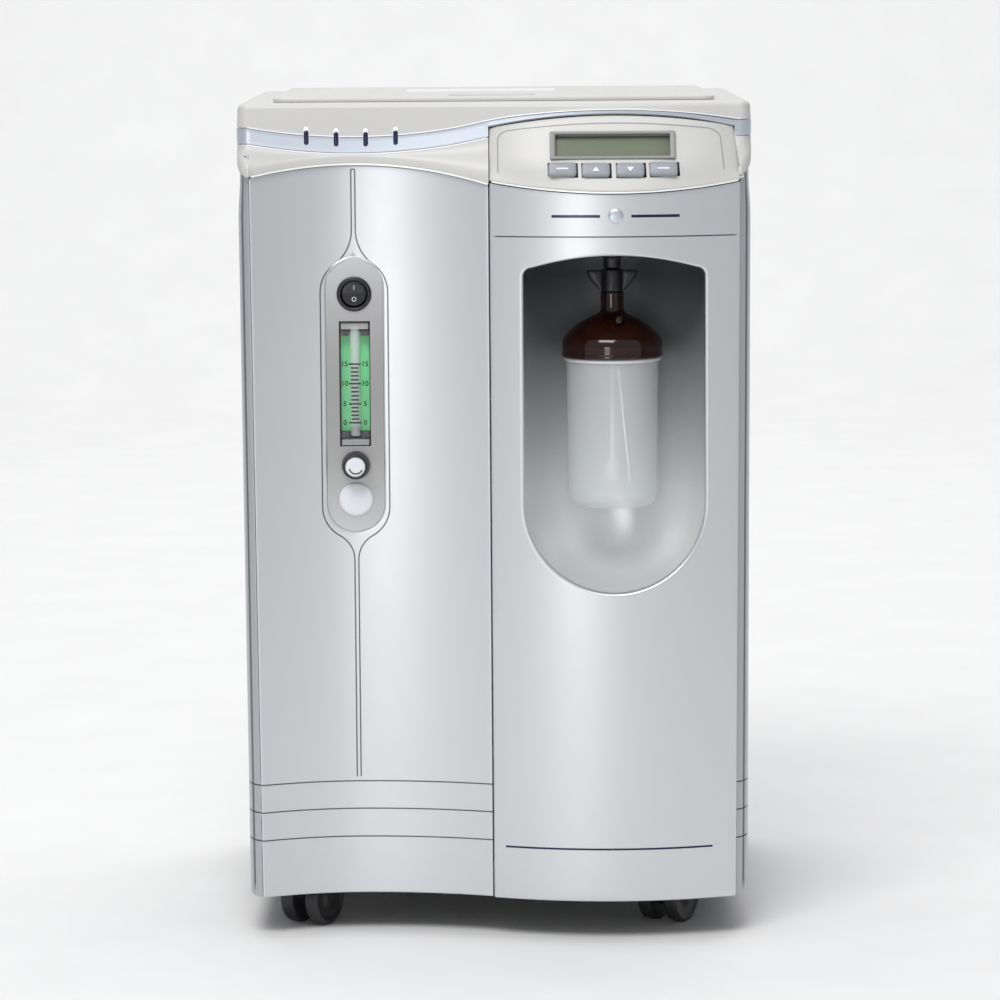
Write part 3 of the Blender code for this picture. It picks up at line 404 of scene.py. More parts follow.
# %% Moulded plastics and rubber
def moulded(name, colour, roughness, grain=0.10, size=900.0, **values):
    """Plastic out of a grained mould: grain is the bump's strength and size its fineness."""
    plastic = Finish(name, **values)
    fine = plastic.noise(size, 3.0, 0.6)
    clouds = plastic.noise(11.0, 3.0)
    # Points in an engraved line are painted dark: painted shade in the grooves.
    line = plastic.node("ShaderNodeAttribute", {"attribute_name": "line"}, {}, "Fac")
    tone = plastic.between(clouds, darker(colour, 0.96), darker(colour, 1.04))
    plastic.feed(base_color=plastic.between(line * 0.85, tone, darker(colour, 0.22)))
    plastic.feed(roughness=roughness + 0.08 * (fine - 0.5) + 0.06 * (clouds - 0.5))
    plastic.bump(fine, grain, 0.00015)
    FINISHES[name] = plastic.material
    return plastic


moulded("cap_beige", (0.58, 0.572, 0.55), 0.46, 0.16, metallic=0.05)
moulded("rear_panel", (0.47, 0.48, 0.49), 0.55, 0.22)
moulded("black_plastic", (0.010, 0.010, 0.014), 0.36, 0.06, coat_weight=0.08, coat_roughness=0.2)
moulded("chassis", (0.028, 0.029, 0.032), 0.60, 0.25)
moulded("wheel", (0.020, 0.020, 0.022), 0.48, 0.14, 500.0)
moulded("key_grey", (0.27, 0.285, 0.31), 0.40, 0.08)
moulded("white_plastic", (0.72, 0.735, 0.76), 0.36, 0.05)
moulded("scale_green", (0.19, 0.80, 0.33), 0.45, 0.04)
moulded("lamp", (0.004, 0.004, 0.040), 0.26, 0.02, coat_weight=0.1, coat_roughness=0.05)
moulded("bottle_lid", (0.016, 0.0030, 0.0010), 0.10, 0.02, 160.0, coat_weight=0.0, coat_roughness=0.05)
moulded("bottle", (0.84, 0.87, 0.87), 0.40, 0.10, 240.0, alpha=0.40, coat_weight=0.10, coat_roughness=0.25)
moulded("clear_plastic", (0.90, 0.94, 0.91), 0.08, 0.01, alpha=0.05, coat_weight=0.25, coat_roughness=0.04)
moulded("foam", (0.055, 0.056, 0.060), 0.95, 0.9, 1400.0)
moulded("board", (0.012, 0.11, 0.055), 0.45, 0.20, 700.0)
print("plastics:", len(FINISHES))

# %% [markdown]
# The bare metals are inside, on the compressor, the tank and the cooling coil. Drawn metal has long fine
# scratches one way, so its noise is squeezed along one axis. The display is one sheet: dark glass over an
# olive liquid crystal, painted dark along its top as the bezel's shadow and lighter towards its foot as
# painted light from under the bezel.

# %% Metals and the display
def drawn_metal(name, colour, roughness):
    """Bare metal with scratches along X: noise whose coordinates are stretched 30 times across X."""
    metal = Finish(name, metallic=1.0)
    stretched = metal.node("ShaderNodeMapping", {}, {"Vector": metal.place, "Scale": (40.0, 1200.0, 1200.0)})
    scratch = metal.node("ShaderNodeTexNoise", {}, {"Vector": stretched, "Scale": 1.0, "Detail": 3.0})
    metal.feed(base_color=metal.between(scratch, darker(colour, 0.85), colour))
    metal.feed(roughness=roughness + 0.18 * (scratch - 0.5))
    metal.bump(scratch, 0.08, 0.0001)
    FINISHES[name] = metal.material


drawn_metal("aluminium", (0.66, 0.67, 0.68), 0.38)
drawn_metal("steel", (0.50, 0.50, 0.51), 0.34)
drawn_metal("copper", (0.66, 0.33, 0.18), 0.30)

glass = Finish("screen", specular_ior_level=0.15)
up = glass.heights("Z")
# Painted shadow: the ramp darkens the screen towards its top, where the bezel's shadow falls.
shade = glass.node(
    "ShaderNodeValToRGB",
    {"stops": [(0.0, (0.19, 0.215, 0.145)), (0.55, (0.16, 0.18, 0.12)), (1.0, (0.045, 0.052, 0.038))]},
    {0: (up - 0.560) * 60.0},
)
glass.feed(base_color=glass.between(glass.noise(900.0, 1.0) * 0.25, shade, (0.09, 0.10, 0.07)), roughness=0.35)
FINISHES["screen"] = glass.material
print("finishes:", len(FINISHES))

# %% [markdown]
# ## The left front panel
# This panel is a thin hollow moulding with an engraved double line. The two lines run down the middle of the
# hollow, swing out round the controls, and close again below. A Boolean would leave a ragged line, so the grid
# is laid along the line instead: each row starts at the panel's edge, crosses the line at a right angle and
# ends at the hole for the controls, or at the middle where there is no hole.

# %% The engraved line, one side of it
LINE_THIN, LINE_R, LINE_LOW_Z, LINE_HIGH_Z = 0.0014, 0.0240, 0.3097, 0.4635
HOLE_R, HOLE_LOW_Z, HOLE_HIGH_Z = 0.0204, 0.3124, 0.4681
LEFT_TOP_Z = 0.5538


def bend(radius):
    """The small arc that leads from the straight line into the large one: its turn, and how far it reaches."""
    turn = math.acos((LINE_THIN + radius) / (LINE_R + radius))
    return turn, math.sqrt((LINE_R + radius) ** 2 - (LINE_THIN + radius) ** 2)


def small_arc(radius, angle, level):
    """Points and normals on the small arc, whose middle lies outside the line."""
    across = LINE_THIN + radius + radius * np.cos(angle)
    return np.stack([across, level + radius * np.sin(angle), -np.cos(angle), -np.sin(angle)], -1)


def large_arc(angle, level):
    return np.stack([LINE_R * np.cos(angle), level + LINE_R * np.sin(angle), np.cos(angle), np.sin(angle)], -1)


def upright(across, heights):
    heights = np.asarray(heights, float)
    return np.stack([across + 0 * heights, heights, 1 + 0 * heights, 0 * heights], -1)


def level_rows(low, high, lines, step=0.004):
    """Heights from low to high with the six that shape a groove at each line, and how deep each one is cut."""
    offsets, cut = np.array([-9, -5, -3.4, 3.4, 5, 9]) * 1e-4, [0, 0, 1, 1, 0, 0]
    plain = np.arange(low, high, step)
    plain = plain[np.all(abs(plain[:, None] - np.array(lines)[None, :]) > 0.0015, axis=1)]
    heights = np.concatenate([plain, (np.array(lines)[:, None] + offsets).ravel(), [high]])
    cuts = np.concatenate([0 * plain, np.tile(cut, len(lines)), [0]])
    order = np.argsort(heights)
    return heights[order], cuts[order]


(low_turn, low_drop), (high_turn, high_drop) = bend(0.020), bend(0.030)
foot_z, foot_cut = level_rows(SKIRT_Z + 0.0016, 0.1134, LEVEL_LINES)
foot_z, foot_cut = np.append(SKIRT_Z + EDGE_STEPS, foot_z), np.append(0 * EDGE_STEPS, foot_cut)
stem_z = np.linspace(0.1142, LINE_LOW_Z - low_drop, 26)
bend_low = small_arc(0.020, np.pi - np.linspace(0, low_turn, 17)[1:], LINE_LOW_Z - low_drop)
round_low = large_arc(np.linspace(-low_turn, 0, 19)[1:], LINE_LOW_Z)
side_z = np.linspace(LINE_LOW_Z, LINE_HIGH_Z, 24)[1:]
round_high = large_arc(np.linspace(0, high_turn, 19)[1:], LINE_HIGH_Z)
bend_high = small_arc(0.030, np.linspace(high_turn, 0, 15)[1:] - np.pi, LINE_HIGH_Z + high_drop)
LINE_END_Z = 0.5492  # here a half circle joins the two lines
join = np.linspace(0, np.pi / 2, 9)[1:]
joined = np.stack([LINE_THIN * np.cos(join), LINE_END_Z + LINE_THIN * np.sin(join), np.cos(join), np.sin(join)], -1)
stem_high_z = np.linspace(LINE_HIGH_Z + high_drop, LINE_END_Z, 14)[1:]
top_z = np.append([0.5524], LEFT_TOP_Z - EDGE_STEPS[::-1] * 0.8)
line = np.vstack([
    upright(LINE_THIN, foot_z), upright(LINE_THIN, stem_z), bend_low, round_low,
    upright(LINE_R, side_z), round_high, bend_high, upright(LINE_THIN, stem_high_z), joined,
    upright(0.0, top_z) * (1, 1, 0, 0),
])


def quarter(start, end, count, level):
    angle = np.linspace(start, end, count + 1)[1:]
    return np.stack([HOLE_R * np.cos(angle), level + HOLE_R * np.sin(angle)], -1)


def middle_line(heights):
    return np.stack([0 * heights, heights], -1)


hole = np.vstack([
    middle_line(np.append(foot_z, stem_z)),
    middle_line(np.linspace(stem_z[-1], HOLE_LOW_Z - HOLE_R, 17)[1:]),
    quarter(-np.pi / 2, 0, 18, HOLE_LOW_Z),
    np.stack([HOLE_R + 0 * side_z, np.linspace(HOLE_LOW_Z, HOLE_HIGH_Z, 24)[1:]], -1),
    quarter(0, np.pi / 2, 18, HOLE_HIGH_Z),
    middle_line(np.linspace(HOLE_HIGH_Z + HOLE_R, bend_high[-1, 1], 15)[1:]),
    middle_line(stem_high_z), middle_line(LINE_END_Z + 0.0002 * np.sin(join)), middle_line(top_z),
])
rows = np.arange(len(line))
first_cut, last_cut = len(foot_z), len(line) - len(top_z)
opened = (rows >= len(foot_z) + len(stem_z) + 15) & (rows <= len(foot_z) + len(stem_z) + 16 + 18 + 23 + 18)
across_cut = np.append(foot_cut, np.zeros(len(line) - len(foot_z)))
print("the line has", len(line), "rows")

# %% [markdown]
# The groove's cross-section is a small trough. Its depth is added to the panel's own curve, so one function
# shapes the hollow, the trough, the rolled rim of the hole and the rolled outer edges. The top of the grid is
# bent down to the arch of the cap.

# %% Left front panel
GROOVE_OFFSETS = np.array([9, 5, 3.2, -3.2, -5, -8.5]) * 1e-4
GROOVE_CUTS = np.array([0, 0, 1, 1, 0, 0])
RIM_STEPS = np.array([0.25, 0.5, 0.65, 0.78, 0.88, 0.95, 0.985, 1.0])  # from the line to the hole


def left_half(side):
    """Rows along the line. Across, in order: the outer edge, the plain part, the groove, and the rim."""
    height = line[:, 1:2]
    edge = -half_width(height) + 0.0003 if side < 0 else SEAM_X - 0.0006 + 0 * height
    near = edge - side * EDGE_STEPS
    start = np.stack([near[:, -1], height[:, 0]], -1)[:, None]
    groove = np.stack([
        CONTROL_X + side * (line[:, :1] + GROOVE_OFFSETS * line[:, 2:3]), height + GROOVE_OFFSETS * line[:, 3:4]
    ], -1)
    plain = mix(start, groove[:, :1], np.linspace(0, 1, 30)[None, 1:-1, None])
    inner = np.stack([CONTROL_X + side * hole[:, 0], hole[:, 1]], -1)[:, None]
    rim = mix(groove[:, -1:], inner, RIM_STEPS[None, :, None])
    flat = np.concatenate([np.stack([near, height + 0 * near], -1), plain, groove, rim], axis=1)
    x, raw_z = flat[..., 0], flat[..., 1]
    arch = np.clip((raw_z - 0.44) / (LEFT_TOP_Z - 0.44), 0, 1) ** 1.5
    z = raw_z - (LEFT_TOP_Z - (cap_low_z(x) - 0.0008)) * arch

    cut = np.zeros(flat.shape[:2])
    cut[first_cut:last_cut, 33:39] = GROOVE_CUTS
    cut = np.maximum(cut, across_cut[:, None])
    rim_fall = np.zeros(flat.shape[:2])
    rim_fall[:, -8:] = roll(1 - RIM_STEPS, 0.45) * 0.0020 * opened[:, None]
    fall = roll(abs(x - edge), 0.0012) + roll(raw_z - SKIRT_Z, 0.0012) + roll(LEFT_TOP_Z - raw_z, 0.0012)
    y = left_panel_y(x, z) + fall + rim_fall + 0.0008 * cut
    return facing(np.stack([x, y, z, cut], -1), (0, -1, 0))


skin(
    "left_front_shell", [patch(left_half(-1)), patch(left_half(1))], "front_panel",
    stands_for=["left_front_panel"], turn=(0, 0.0032, 0), wall=0.0008,
)

# %% [markdown]
# ## The right front panel
# The bulging panel carries the window of the humidifier. Here the grid is a ring: its inner edge is the window,
# its outer edge a rectangle, and plain grids above and below complete the panel. The upper one has a level line.

# %% Window outline, one side of it
RING_LOW_Z, RING_HIGH_Z, RIGHT_LINE_Z = 0.2340, 0.4975, 0.5035
ACROSS = column(np.linspace(0, 1 - 0.02, 34), 1 - EDGE_STEPS[::-1] / 0.0874)  # middle to edge, as shares


def window_half():
    """The window from its lowest to its highest point: distance from the middle and height, then the matching
    point of the rectangle: share of the way to the panel's edge and height."""
    low = np.linspace(-np.pi / 2, -0.84, len(ACROSS))
    side = np.linspace(-0.84, 0, 15)[1:]
    straight = np.linspace(WINDOW_ROUND_Z, WINDOW_SHOULDER_Z - 0.006, 22)[1:]
    corner = np.linspace(0, math.radians(75), 8)[1:]
    share = np.linspace(1, 0, len(ACROSS))[1:]
    crown_x = share * (WINDOW_HALF - 0.0045)
    crown_z = WINDOW_SHOULDER_Z + (WINDOW_TOP_Z - WINDOW_SHOULDER_Z) * (1 - (crown_x / (WINDOW_HALF - 0.006)) ** 2)
    reach = WINDOW_HALF - 0.006
    x = column(
        WINDOW_HALF * np.cos(low), WINDOW_HALF * np.cos(side), WINDOW_HALF + 0 * straight,
        reach + 0.006 * np.cos(corner), crown_x,
    )
    z = column(
        WINDOW_ROUND_Z + WINDOW_HALF * np.sin(low), WINDOW_ROUND_Z + WINDOW_HALF * np.sin(side), straight,
        WINDOW_SHOULDER_Z - 0.006 + 0.006 * np.sin(corner), crown_z,
    )
    out = column(ACROSS, np.ones(len(side) + len(straight) + len(corner)), ACROSS[::-1][1:])
    rise = np.linspace(straight[-1], RING_HIGH_Z, len(corner) + 1)[1:]
    out_z = column(
        RING_LOW_Z + 0 * low, np.linspace(RING_LOW_Z, WINDOW_ROUND_Z, 15)[1:], straight, rise,
        RING_HIGH_Z + 0 * crown_x,
    )
    return x, z, out, out_z


def right_edge(side, z):
    """Distance from the window's middle to the panel's edge."""
    return half_width(z) - WINDOW_X if side > 0 else WINDOW_X - SEAM_X + 0 * z


def right_surface(x, z, side, cut=0.0, window_gap=1.0):
    """The bulge, with its edges rolled back, a groove where cut is 1, and a soft lip at the window."""
    gap = right_edge(side, z) - abs(x - WINDOW_X)
    fall = roll(gap, 0.0012) + roll(z - SKIRT_Z, 0.0012) + roll(window_gap, 0.0024)
    return np.stack([x, right_panel_y(x, z) + fall + 0.0008 * cut, z, cut + 0 * x], -1)


def ring_half(side):
    inner_x, inner_z, share, out_z = (part[:, None] for part in window_half())
    out_x = share * right_edge(side, out_z)
    length = np.hypot(out_x - inner_x, out_z - inner_z)
    lip = np.array([0.0036, 0.0024, 0.0018, 0.0012, 0.0007, 0.0003, 0.0001, 0.0])
    way = np.concatenate(
        [EDGE_STEPS + 0 * length, mix(0.0012, length - 0.0036, np.linspace(0, 1, 14)[1:-1]), length - lip], axis=1
    )
    share_in = way / length
    x, z = mix(out_x, inner_x, share_in), mix(out_z, inner_z, share_in)
    return facing(right_surface(WINDOW_X + side * x, z, side, window_gap=length - way), (0, -1, 0))


def plain_half(side, heights, cuts=0.0, arched=False):
    """A plain grid on the columns of the ring's outer edge."""
    z = heights[:, None] + 0 * ACROSS[None, :]
    x = WINDOW_X + side * ACROSS[None, :] * right_edge(side, z)
    if arched:
        top = console_low_z(x) - 0.0018
        z = z + (top - heights[-1]) * np.clip((z - 0.506) / (heights[-1] - 0.506), 0, 1)
    gap = right_edge(side, z) - abs(x - WINDOW_X)
    cut = (cuts + 0 * z) * smooth((gap - 0.0030) / 0.0004)
    return facing(right_surface(x, z, side, cut), (0, -1, 0))


top_heights, top_cuts = level_rows(RING_HIGH_Z, 0.5330, [RIGHT_LINE_Z])
low_heights = column(SKIRT_Z + EDGE_STEPS, np.linspace(SKIRT_Z + 0.006, RING_LOW_Z, 40))
patches = []
for side in (-1, 1):
    patches += [
        patch(ring_half(side)),
        patch(plain_half(side, top_heights, top_cuts[:, None], arched=True)),
        patch(plain_half(side, low_heights)),
    ]
skin(
    "right_front_shell", patches, "front_panel", stands_for=["right_front_panel"], turn=(0, 0.0042, 0), wall=0.0008
)
print("window points on one side:", len(window_half()[0]))

# %% [markdown]
# ## Side panels
# In plan a side is a quarter ellipse in front, a straight wall and a quarter circle behind. The three grooves
# of the foot carry on round it. A groove has to go inwards wherever it is, so the grid is sunk along its own
# normal, which numpy finds as the cross product of the steps along rows and columns.

# %% Side panels
def sunk(points, depth):
    """The grid moved by depth along its inward normal."""
    across, up = np.gradient(points, axis=1), np.gradient(points, axis=0)
    normal = np.cross(across, up)
    normal /= np.linalg.norm(normal, axis=-1, keepdims=True)
    return points - normal * depth[..., None]


def side_points(side):
    heights, cuts = level_rows(SKIRT_Z + 0.0016, CAP_SIDE_Z + 0.0150, LEVEL_LINES, 0.008)
    heights, cuts = np.append(SKIRT_Z + EDGE_STEPS[:-1], heights), np.append(0 * EDGE_STEPS[:-1], cuts)
    front = EDGE_Y + 0.0036
    turn = np.linspace(0, np.pi / 2, 25)
    capped = np.minimum(heights, CAP_SIDE_Z)
    edge = half_width(capped)[:, None]
    below = (CAP_SIDE_Z - capped)[:, None]
    out = 0.1808 + 0.0016 * smooth(below / 0.03) - 0.0045 * below
    straight = np.linspace(front + 0.027, REAR_Y - 0.015, 24)[None, 1:-1]
    x = np.concatenate([
        edge + (out - edge) * np.sin(turn), out + 0 * straight, out - (out - 0.1625) * (1 - np.cos(turn))
    ], axis=1)
    y = np.concatenate([
        front + 0.027 * (1 - np.cos(turn)) + 0 * edge, straight + 0 * edge,
        REAR_Y - 0.015 * (1 - np.sin(turn)) + 0 * edge,
    ], axis=1)
    z = heights[:, None] + 0 * x
    points = np.stack([side * x, y, z], -1)[:, ::side]
    seam = (abs(np.arange(x.shape[1]) - 10) < 1.5)[None, ::side] * (z > SKIRT_Z + 0.0020)  # down the rounded corner
    lines = np.maximum(cuts[:, None], seam)
    depth = 0.0008 * cuts[:, None] + 0.0005 * seam + roll(z - SKIRT_Z, 0.0012)
    return facing(np.concatenate([sunk(points, depth), lines[..., None]], -1), (side, 0, 0))


for side, name in ((-1, "left"), (1, "right")):
    skin(
        f"{name}_side_shell", [patch(side_points(side))], "side_panel", stands_for=[f"{name}_side_panel"],
        wall=0.0015,
    )
print("side panels:", side_points(1).shape)

# %% [markdown]
# ## The cap
# The cap is one closed band of rings. Each ring goes round the cabinet, and the rings climb from the lip, up
# the hollow front, across the channel for the accent band, over the crest and down into the seat of the lid.
# A pocket for the console is a part of the same grid: there the points simply lie further back.

# %% Rings of the cap
CAP_START = WIDTH / 2 - 0.008  # where the straight front ends and the corner starts
POCKET_LOW_X, POCKET_HIGH_X, POCKET_Y = SEAM_X - 0.0006, 0.1741, -0.1430
left_x = np.linspace(-CAP_START, POCKET_LOW_X, 64)
mid_x = np.linspace(POCKET_LOW_X, POCKET_HIGH_X, 64)
FRONT_X = column(left_x, mid_x, POCKET_HIGH_X, CAP_START)
IN_POCKET = column(0 * left_x, np.ones(len(mid_x)), 0, 0)
CORNER = np.linspace(0, np.pi / 2, 10)[1:]


def band_high_z(x):
    """A dip on the left that swings up into a crown over the console."""
    dip = 0.5733 + 1.2 * (x + 0.098) ** 2
    return mix(dip, 0.5915 - 0.9 * (x - 0.084) ** 2, smooth((x + 0.035) / 0.06))


def band_low_z(x):
    return band_high_z(x) - 0.0115


def band_y(x):
    """Front of the cap at the band: a shallow wave, forward on the right and back on the left."""
    right = -0.0065 * np.sin(np.pi * np.clip((x - SEAM_X) / (EDGE_HALF - SEAM_X), 0, 1.05))
    left = 0.003 * np.sin(np.pi * np.clip((SEAM_X - x) / (EDGE_HALF + SEAM_X), 0, 1.05))
    return -0.1530 + right + left


def lip_y(x):
    """Front of the lip: just in front of the left panel, and level on the right."""
    follow = left_panel_y(np.minimum(x, SEAM_X), CAP_SIDE_Z) - 0.003
    return mix(follow, EDGE_Y - 0.003, smooth((x - SEAM_X) / 0.02))


def lip_z(x):
    right = mix(cap_low_z(SEAM_X), CAP_SIDE_Z, smooth(x / 0.17))
    return np.where(x < SEAM_X, cap_low_z(np.minimum(x, SEAM_X)), right)


def seat_z(x):
    """Upper edge of the console's pocket, kept within the band."""
    return np.clip(console_high_z(x) + 0.0007, band_low_z(x) + 0.0004, band_high_z(x) - 0.0005)


def leaned(x, z):
    """The pocket's right wall leans 4 mm inwards on its way up, and takes the columns near it along."""
    near = smooth((FRONT_X - 0.12) / 0.0541) * (FRONT_X <= POCKET_HIGH_X + 1e-6) * (FRONT_X > 0.12)
    return x - 0.0040 * near * np.clip((z - 0.5428) / 0.0367, 0, 1)


def ring(z, y, corner, reach, inward=0.0, sink=0.0, pocket=False, curl=0.0):
    """One ring of the cap. inward shrinks it all round, sink only along the front and its corners, and curl
    lifts it round the front corners, a quarter more on the right, and fades to nothing along the sides."""
    z, y = z + 0 * FRONT_X, y + 0 * FRONT_X + inward + sink
    x = leaned(FRONT_X, z)
    y = np.where((IN_POCKET > 0) & pocket, POCKET_Y, y)
    fall = inward + sink  # a corner that has fallen in by its whole radius is square from there on
    start = WIDTH / 2 - max(corner, fall)
    corner_x = start + max(corner - fall, 0) * np.sin(CORNER)
    back = max(reach - fall, 0) * (1 - np.cos(CORNER))
    stretch = np.where((abs(x) > 0.1741) | (fall > corner), start / CAP_START, 1.0)
    side_y = np.linspace(-0.10, REAR_Y - max(0.0125, inward + 0.0005), 16)
    side_x = WIDTH / 2 - inward + 0 * side_y
    rear, square, left = np.linspace(0, np.pi / 2, 8), max(0.012, inward), max(0.012 - inward, 0)
    rear_x, rear_y = WIDTH / 2 - square + left * np.cos(rear), REAR_Y - square + left * np.sin(rear)
    xs = column(x * stretch, corner_x, side_x, rear_x, -rear_x[::-1], -side_x, -corner_x[::-1])
    ys = column(y, y[-1] + back, side_y, rear_y, rear_y[::-1], side_y[::-1], (y[0] + back)[::-1])
    fade = 1 - smooth(np.arange(len(side_x)) / (len(side_x) - 1))
    lift = curl * column(1 - np.cos(CORNER), fade, np.zeros(len(rear_x)))
    zs = column(z, z[-1] + lift * 1.25, z[0] + lift[::-1])
    return np.stack([xs, ys, zs], -1)


CURL = 0.0100  # how far the cap's lower edge climbs at the corners


def cap_rings():
    x = FRONT_X
    low, band_low, band_high, seat = lip_z(x), band_low_z(x), band_high_z(x), seat_z(x)
    lip, crest = (0.0095, 0.030), (0.008, 0.016)
    rings = [
        ring(low, lip_y(x), *lip, inward=0.0038, pocket=True, curl=CURL),
        ring(low, lip_y(x), *lip, inward=0.0010, pocket=True, curl=CURL),
        ring(low + 0.0003, lip_y(x), *lip, inward=0.0003, pocket=True, curl=CURL),
        ring(low + 0.0010, lip_y(x), *lip, pocket=True, curl=CURL),
    ]
    for t in np.linspace(0, 1, 14):
        corner = (mix(lip[0], crest[0], t), mix(lip[1], crest[1], t))
        back = t + 0.10 * math.sin(2 * math.pi * t) * -1
        z = mix(low + 0.0045, band_low - 0.0004, t)
        rings.append(ring(z, mix(lip_y(x), band_y(x), back), *corner, pocket=True, curl=CURL * (1 - t)))
    rings += [
        ring(band_low - 0.0001, band_y(x), *crest, sink=0.0003, pocket=True),
        ring(band_low, band_y(x), *crest, sink=0.0021, pocket=True),
        ring(seat, band_y(x), *crest, sink=0.0021, pocket=True),
        ring(seat, band_y(x), *crest, sink=0.0021),
        ring(band_high, band_y(x), *crest, sink=0.0021),
        ring(band_high + 0.0001, band_y(x), *crest, sink=0.0003),
        ring(band_high + 0.0004, band_y(x), *crest),
    ]
    crown = np.maximum(band_high + 0.0006, 0.5936)
    rings.append(ring(mix(band_high + 0.0004, crown, 0.5), band_y(x), *crest, inward=0.0003))
    for t in np.linspace(0, math.pi / 2, 8):
        inward = 0.0006 + 0.0050 * (1 - math.cos(t))
        rings.append(ring(crown + (CAP_TOP_Z - crown) * math.sin(t), band_y(x), *crest, inward=inward))
    rings += [
        ring(CAP_TOP_Z, -0.1140 - 0.0260, 0.006, 0.006, inward=0.0260),
        ring(CAP_TOP_Z - 0.0010, -0.1130 - 0.0270, 0.006, 0.006, inward=0.0270),
        ring(0.5770, -0.1120 - 0.0280, 0.006, 0.006, inward=0.0280),
    ]
    middle = np.array([0.0, 0.0300, 0.5770])  # the accessory tray's floor runs in to here
    rings += [mix(rings[-1], middle, t) for t in (0.01, 0.5, 1.0)]
    return np.stack(rings)


skin("cap_shell", [patch(cap_rings(), around=True)], "cap_beige", stands_for=["top_cover"], wall=0.0012, sharp=32)
print("cap rings:", cap_rings().shape)

# %% [markdown]
# ## The accent band and its lamps
# A separate metallic strip lies in the channel, a third of a millimetre proud, with softened edges. It is made
# from the same ring as the cap, so it follows every swing of it. The console covers its lower part, and there
# the strip's lower edge rises to the console's upper edge.

# %% Accent band
def front_only(points):
    """The part of a ring along the front and round both corners, from left to right."""
    ends = len(CORNER)
    return np.vstack([points[-ends:], points[: len(FRONT_X) + ends]])


def band_points():
    x = FRONT_X
    low = np.where(IN_POCKET > 0, np.maximum(band_low_z(x), seat_z(x) + 0.0004), band_low_z(x)) + 0.0003
    high = band_high_z(x) - 0.0003
    crest = (0.008, 0.016)
    across = [(low, 0.0019), (low, 0.0001), (low + 0.0002, -0.0002), (low + 0.0007, -0.0003)]
    across += [(mix(low, high, t), -0.0003) for t in (0.25, 0.5, 0.75)]
    across += [(high - 0.0007, -0.0003), (high - 0.0002, -0.0002), (high, 0.0001), (high, 0.0019)]
    return np.stack([front_only(ring(z, band_y(x), *crest, sink=sink)) for z, sink in across])


skin(
    "accent_strip", [patch(band_points(), loop=True)], "accent_band", stands_for=["accent_band"], sharp=40
)

LAMP_XS = (-0.1328, -0.1117, -0.0908, -0.0696)


def capsule_points(x, y, z, half, tall, proud, around=28):
    """A domed bar with round ends: rings that shrink by a quarter circle as they come forward."""
    angle = np.linspace(0, 2 * np.pi, around, endpoint=False)
    stretch = np.where(np.sin(angle) > 0, tall - half, half - tall)
    dome = np.append(0, np.linspace(0, np.pi / 2, 7))
    grow, front = np.cos(dome), np.append(-0.0015, proud * np.sin(dome[1:]))
    px = x + half * np.cos(angle)[None] * grow[:, None]
    pz = z + (half * np.sin(angle)[None] * grow[:, None] + stretch[None] * (0.4 + 0.6 * grow[:, None]))
    return np.stack([px, y - front[:, None] + 0 * px, pz], -1)


for index, x in enumerate(LAMP_XS):
    middle = (band_low_z(x) + band_high_z(x)) / 2 + 0.0042
    rim_points = capsule_points(x, band_y(x), middle + 0.0010, 0.0019, 0.0066, 0.0004)
    lens_points = capsule_points(x, band_y(x) - 0.0003, middle, 0.0017, 0.0052, 0.0009)
    skin(f"lamp_rim_{index}", [patch(rim_points, around=True)], "bright_edge", closed=True, sharp=60)
    skin(
        f"lamp_lens_{index}", [patch(lens_points, around=True)], "lamp", closed=True, sharp=60,
        stands_for=["indicator_light_pipes"] if index == 0 else (),
    )
print("lamps at", LAMP_XS)

# %% [markdown]
# ## The console
# The console leans back over the right panel, and its bulge flattens upwards. Its grid has columns and rows on
# the edges of the display and of the keys, so the openings are made by leaving faces out, and the rims are
# turned back into the cabinet like every other open edge here.

# %% Console face
CONSOLE_LEAN, CONSOLE_RIGHT = 0.0195, (0.1735, 0.1695)
SCREEN_X, SCREEN_V, KEY_V = 0.0846, 0.61, 0.28
KEYS = {"mode": 0.0482, "up": 0.0718, "down": 0.0961, "enter": 0.1196}
SLOPE = 0.0585  # the face's height measured along its lean


def console_points(u, v, lift=0.0):
    """u runs from the seam to the right edge and v up the slope. The bulge is 1 - |2u - 1| to a power that grows
    from 2 at the foot to 4 higher up."""
    x = mix(SEAM_X, mix(*CONSOLE_RIGHT, v), u)
    z = mix(console_low_z(x), console_high_z(x), v)
    bulge = WAVE * (1 - 0.35 * v) * (1 - abs(2 * u - 1) ** (2 + 2 * smooth(v / 0.5)))
    y = EDGE_Y - PROUD - 0.002 + CONSOLE_LEAN * v - bulge - lift
    return np.stack([x, y, z], -1)


def stops(edges, step):
    """Every edge, and even steps between them that are no longer than step."""
    edges = sorted(edges)
    spans = [np.linspace(a, b, max(2, int((b - a) / step) + 2))[:-1] for a, b in zip(edges, edges[1:])]
    return column(*spans, edges[-1])


KEY_GAP_X, KEY_GAP_V = 0.0106, 0.0115 / SLOPE / 2
SCREEN_GAP_X, SCREEN_GAP_V = 0.0435, 0.0200 / SLOPE / 2
key_right = mix(*CONSOLE_RIGHT, KEY_V)
key_edges = [x + side * KEY_GAP_X for x in KEYS.values() for side in (-1, 1)]
columns_x = stops([SEAM_X + d for d in (0, 0.0001, 0.0004, 0.0008, 0.0014)] + key_edges
                  + [SCREEN_X - SCREEN_GAP_X, SCREEN_X + SCREEN_GAP_X]
                  + [key_right - d for d in (0, 0.0001, 0.0004, 0.0008, 0.0014)], 0.0024)
rows_v = stops([0, 0.0025, 0.008, 0.016, 0.028, KEY_V - KEY_GAP_V, KEY_V + KEY_GAP_V, SCREEN_V - SCREEN_GAP_V,
                SCREEN_V + SCREEN_GAP_V, 0.972, 0.984, 0.992, 0.9975, 1], 0.04)
u_grid, v_grid = np.meshgrid((columns_x - SEAM_X) / (key_right - SEAM_X), rows_v)
rim = roll(np.minimum(u_grid, 1 - u_grid) * (key_right - SEAM_X), 0.0014) + roll(
    np.minimum(v_grid, 1 - v_grid) * SLOPE, 0.0016
)
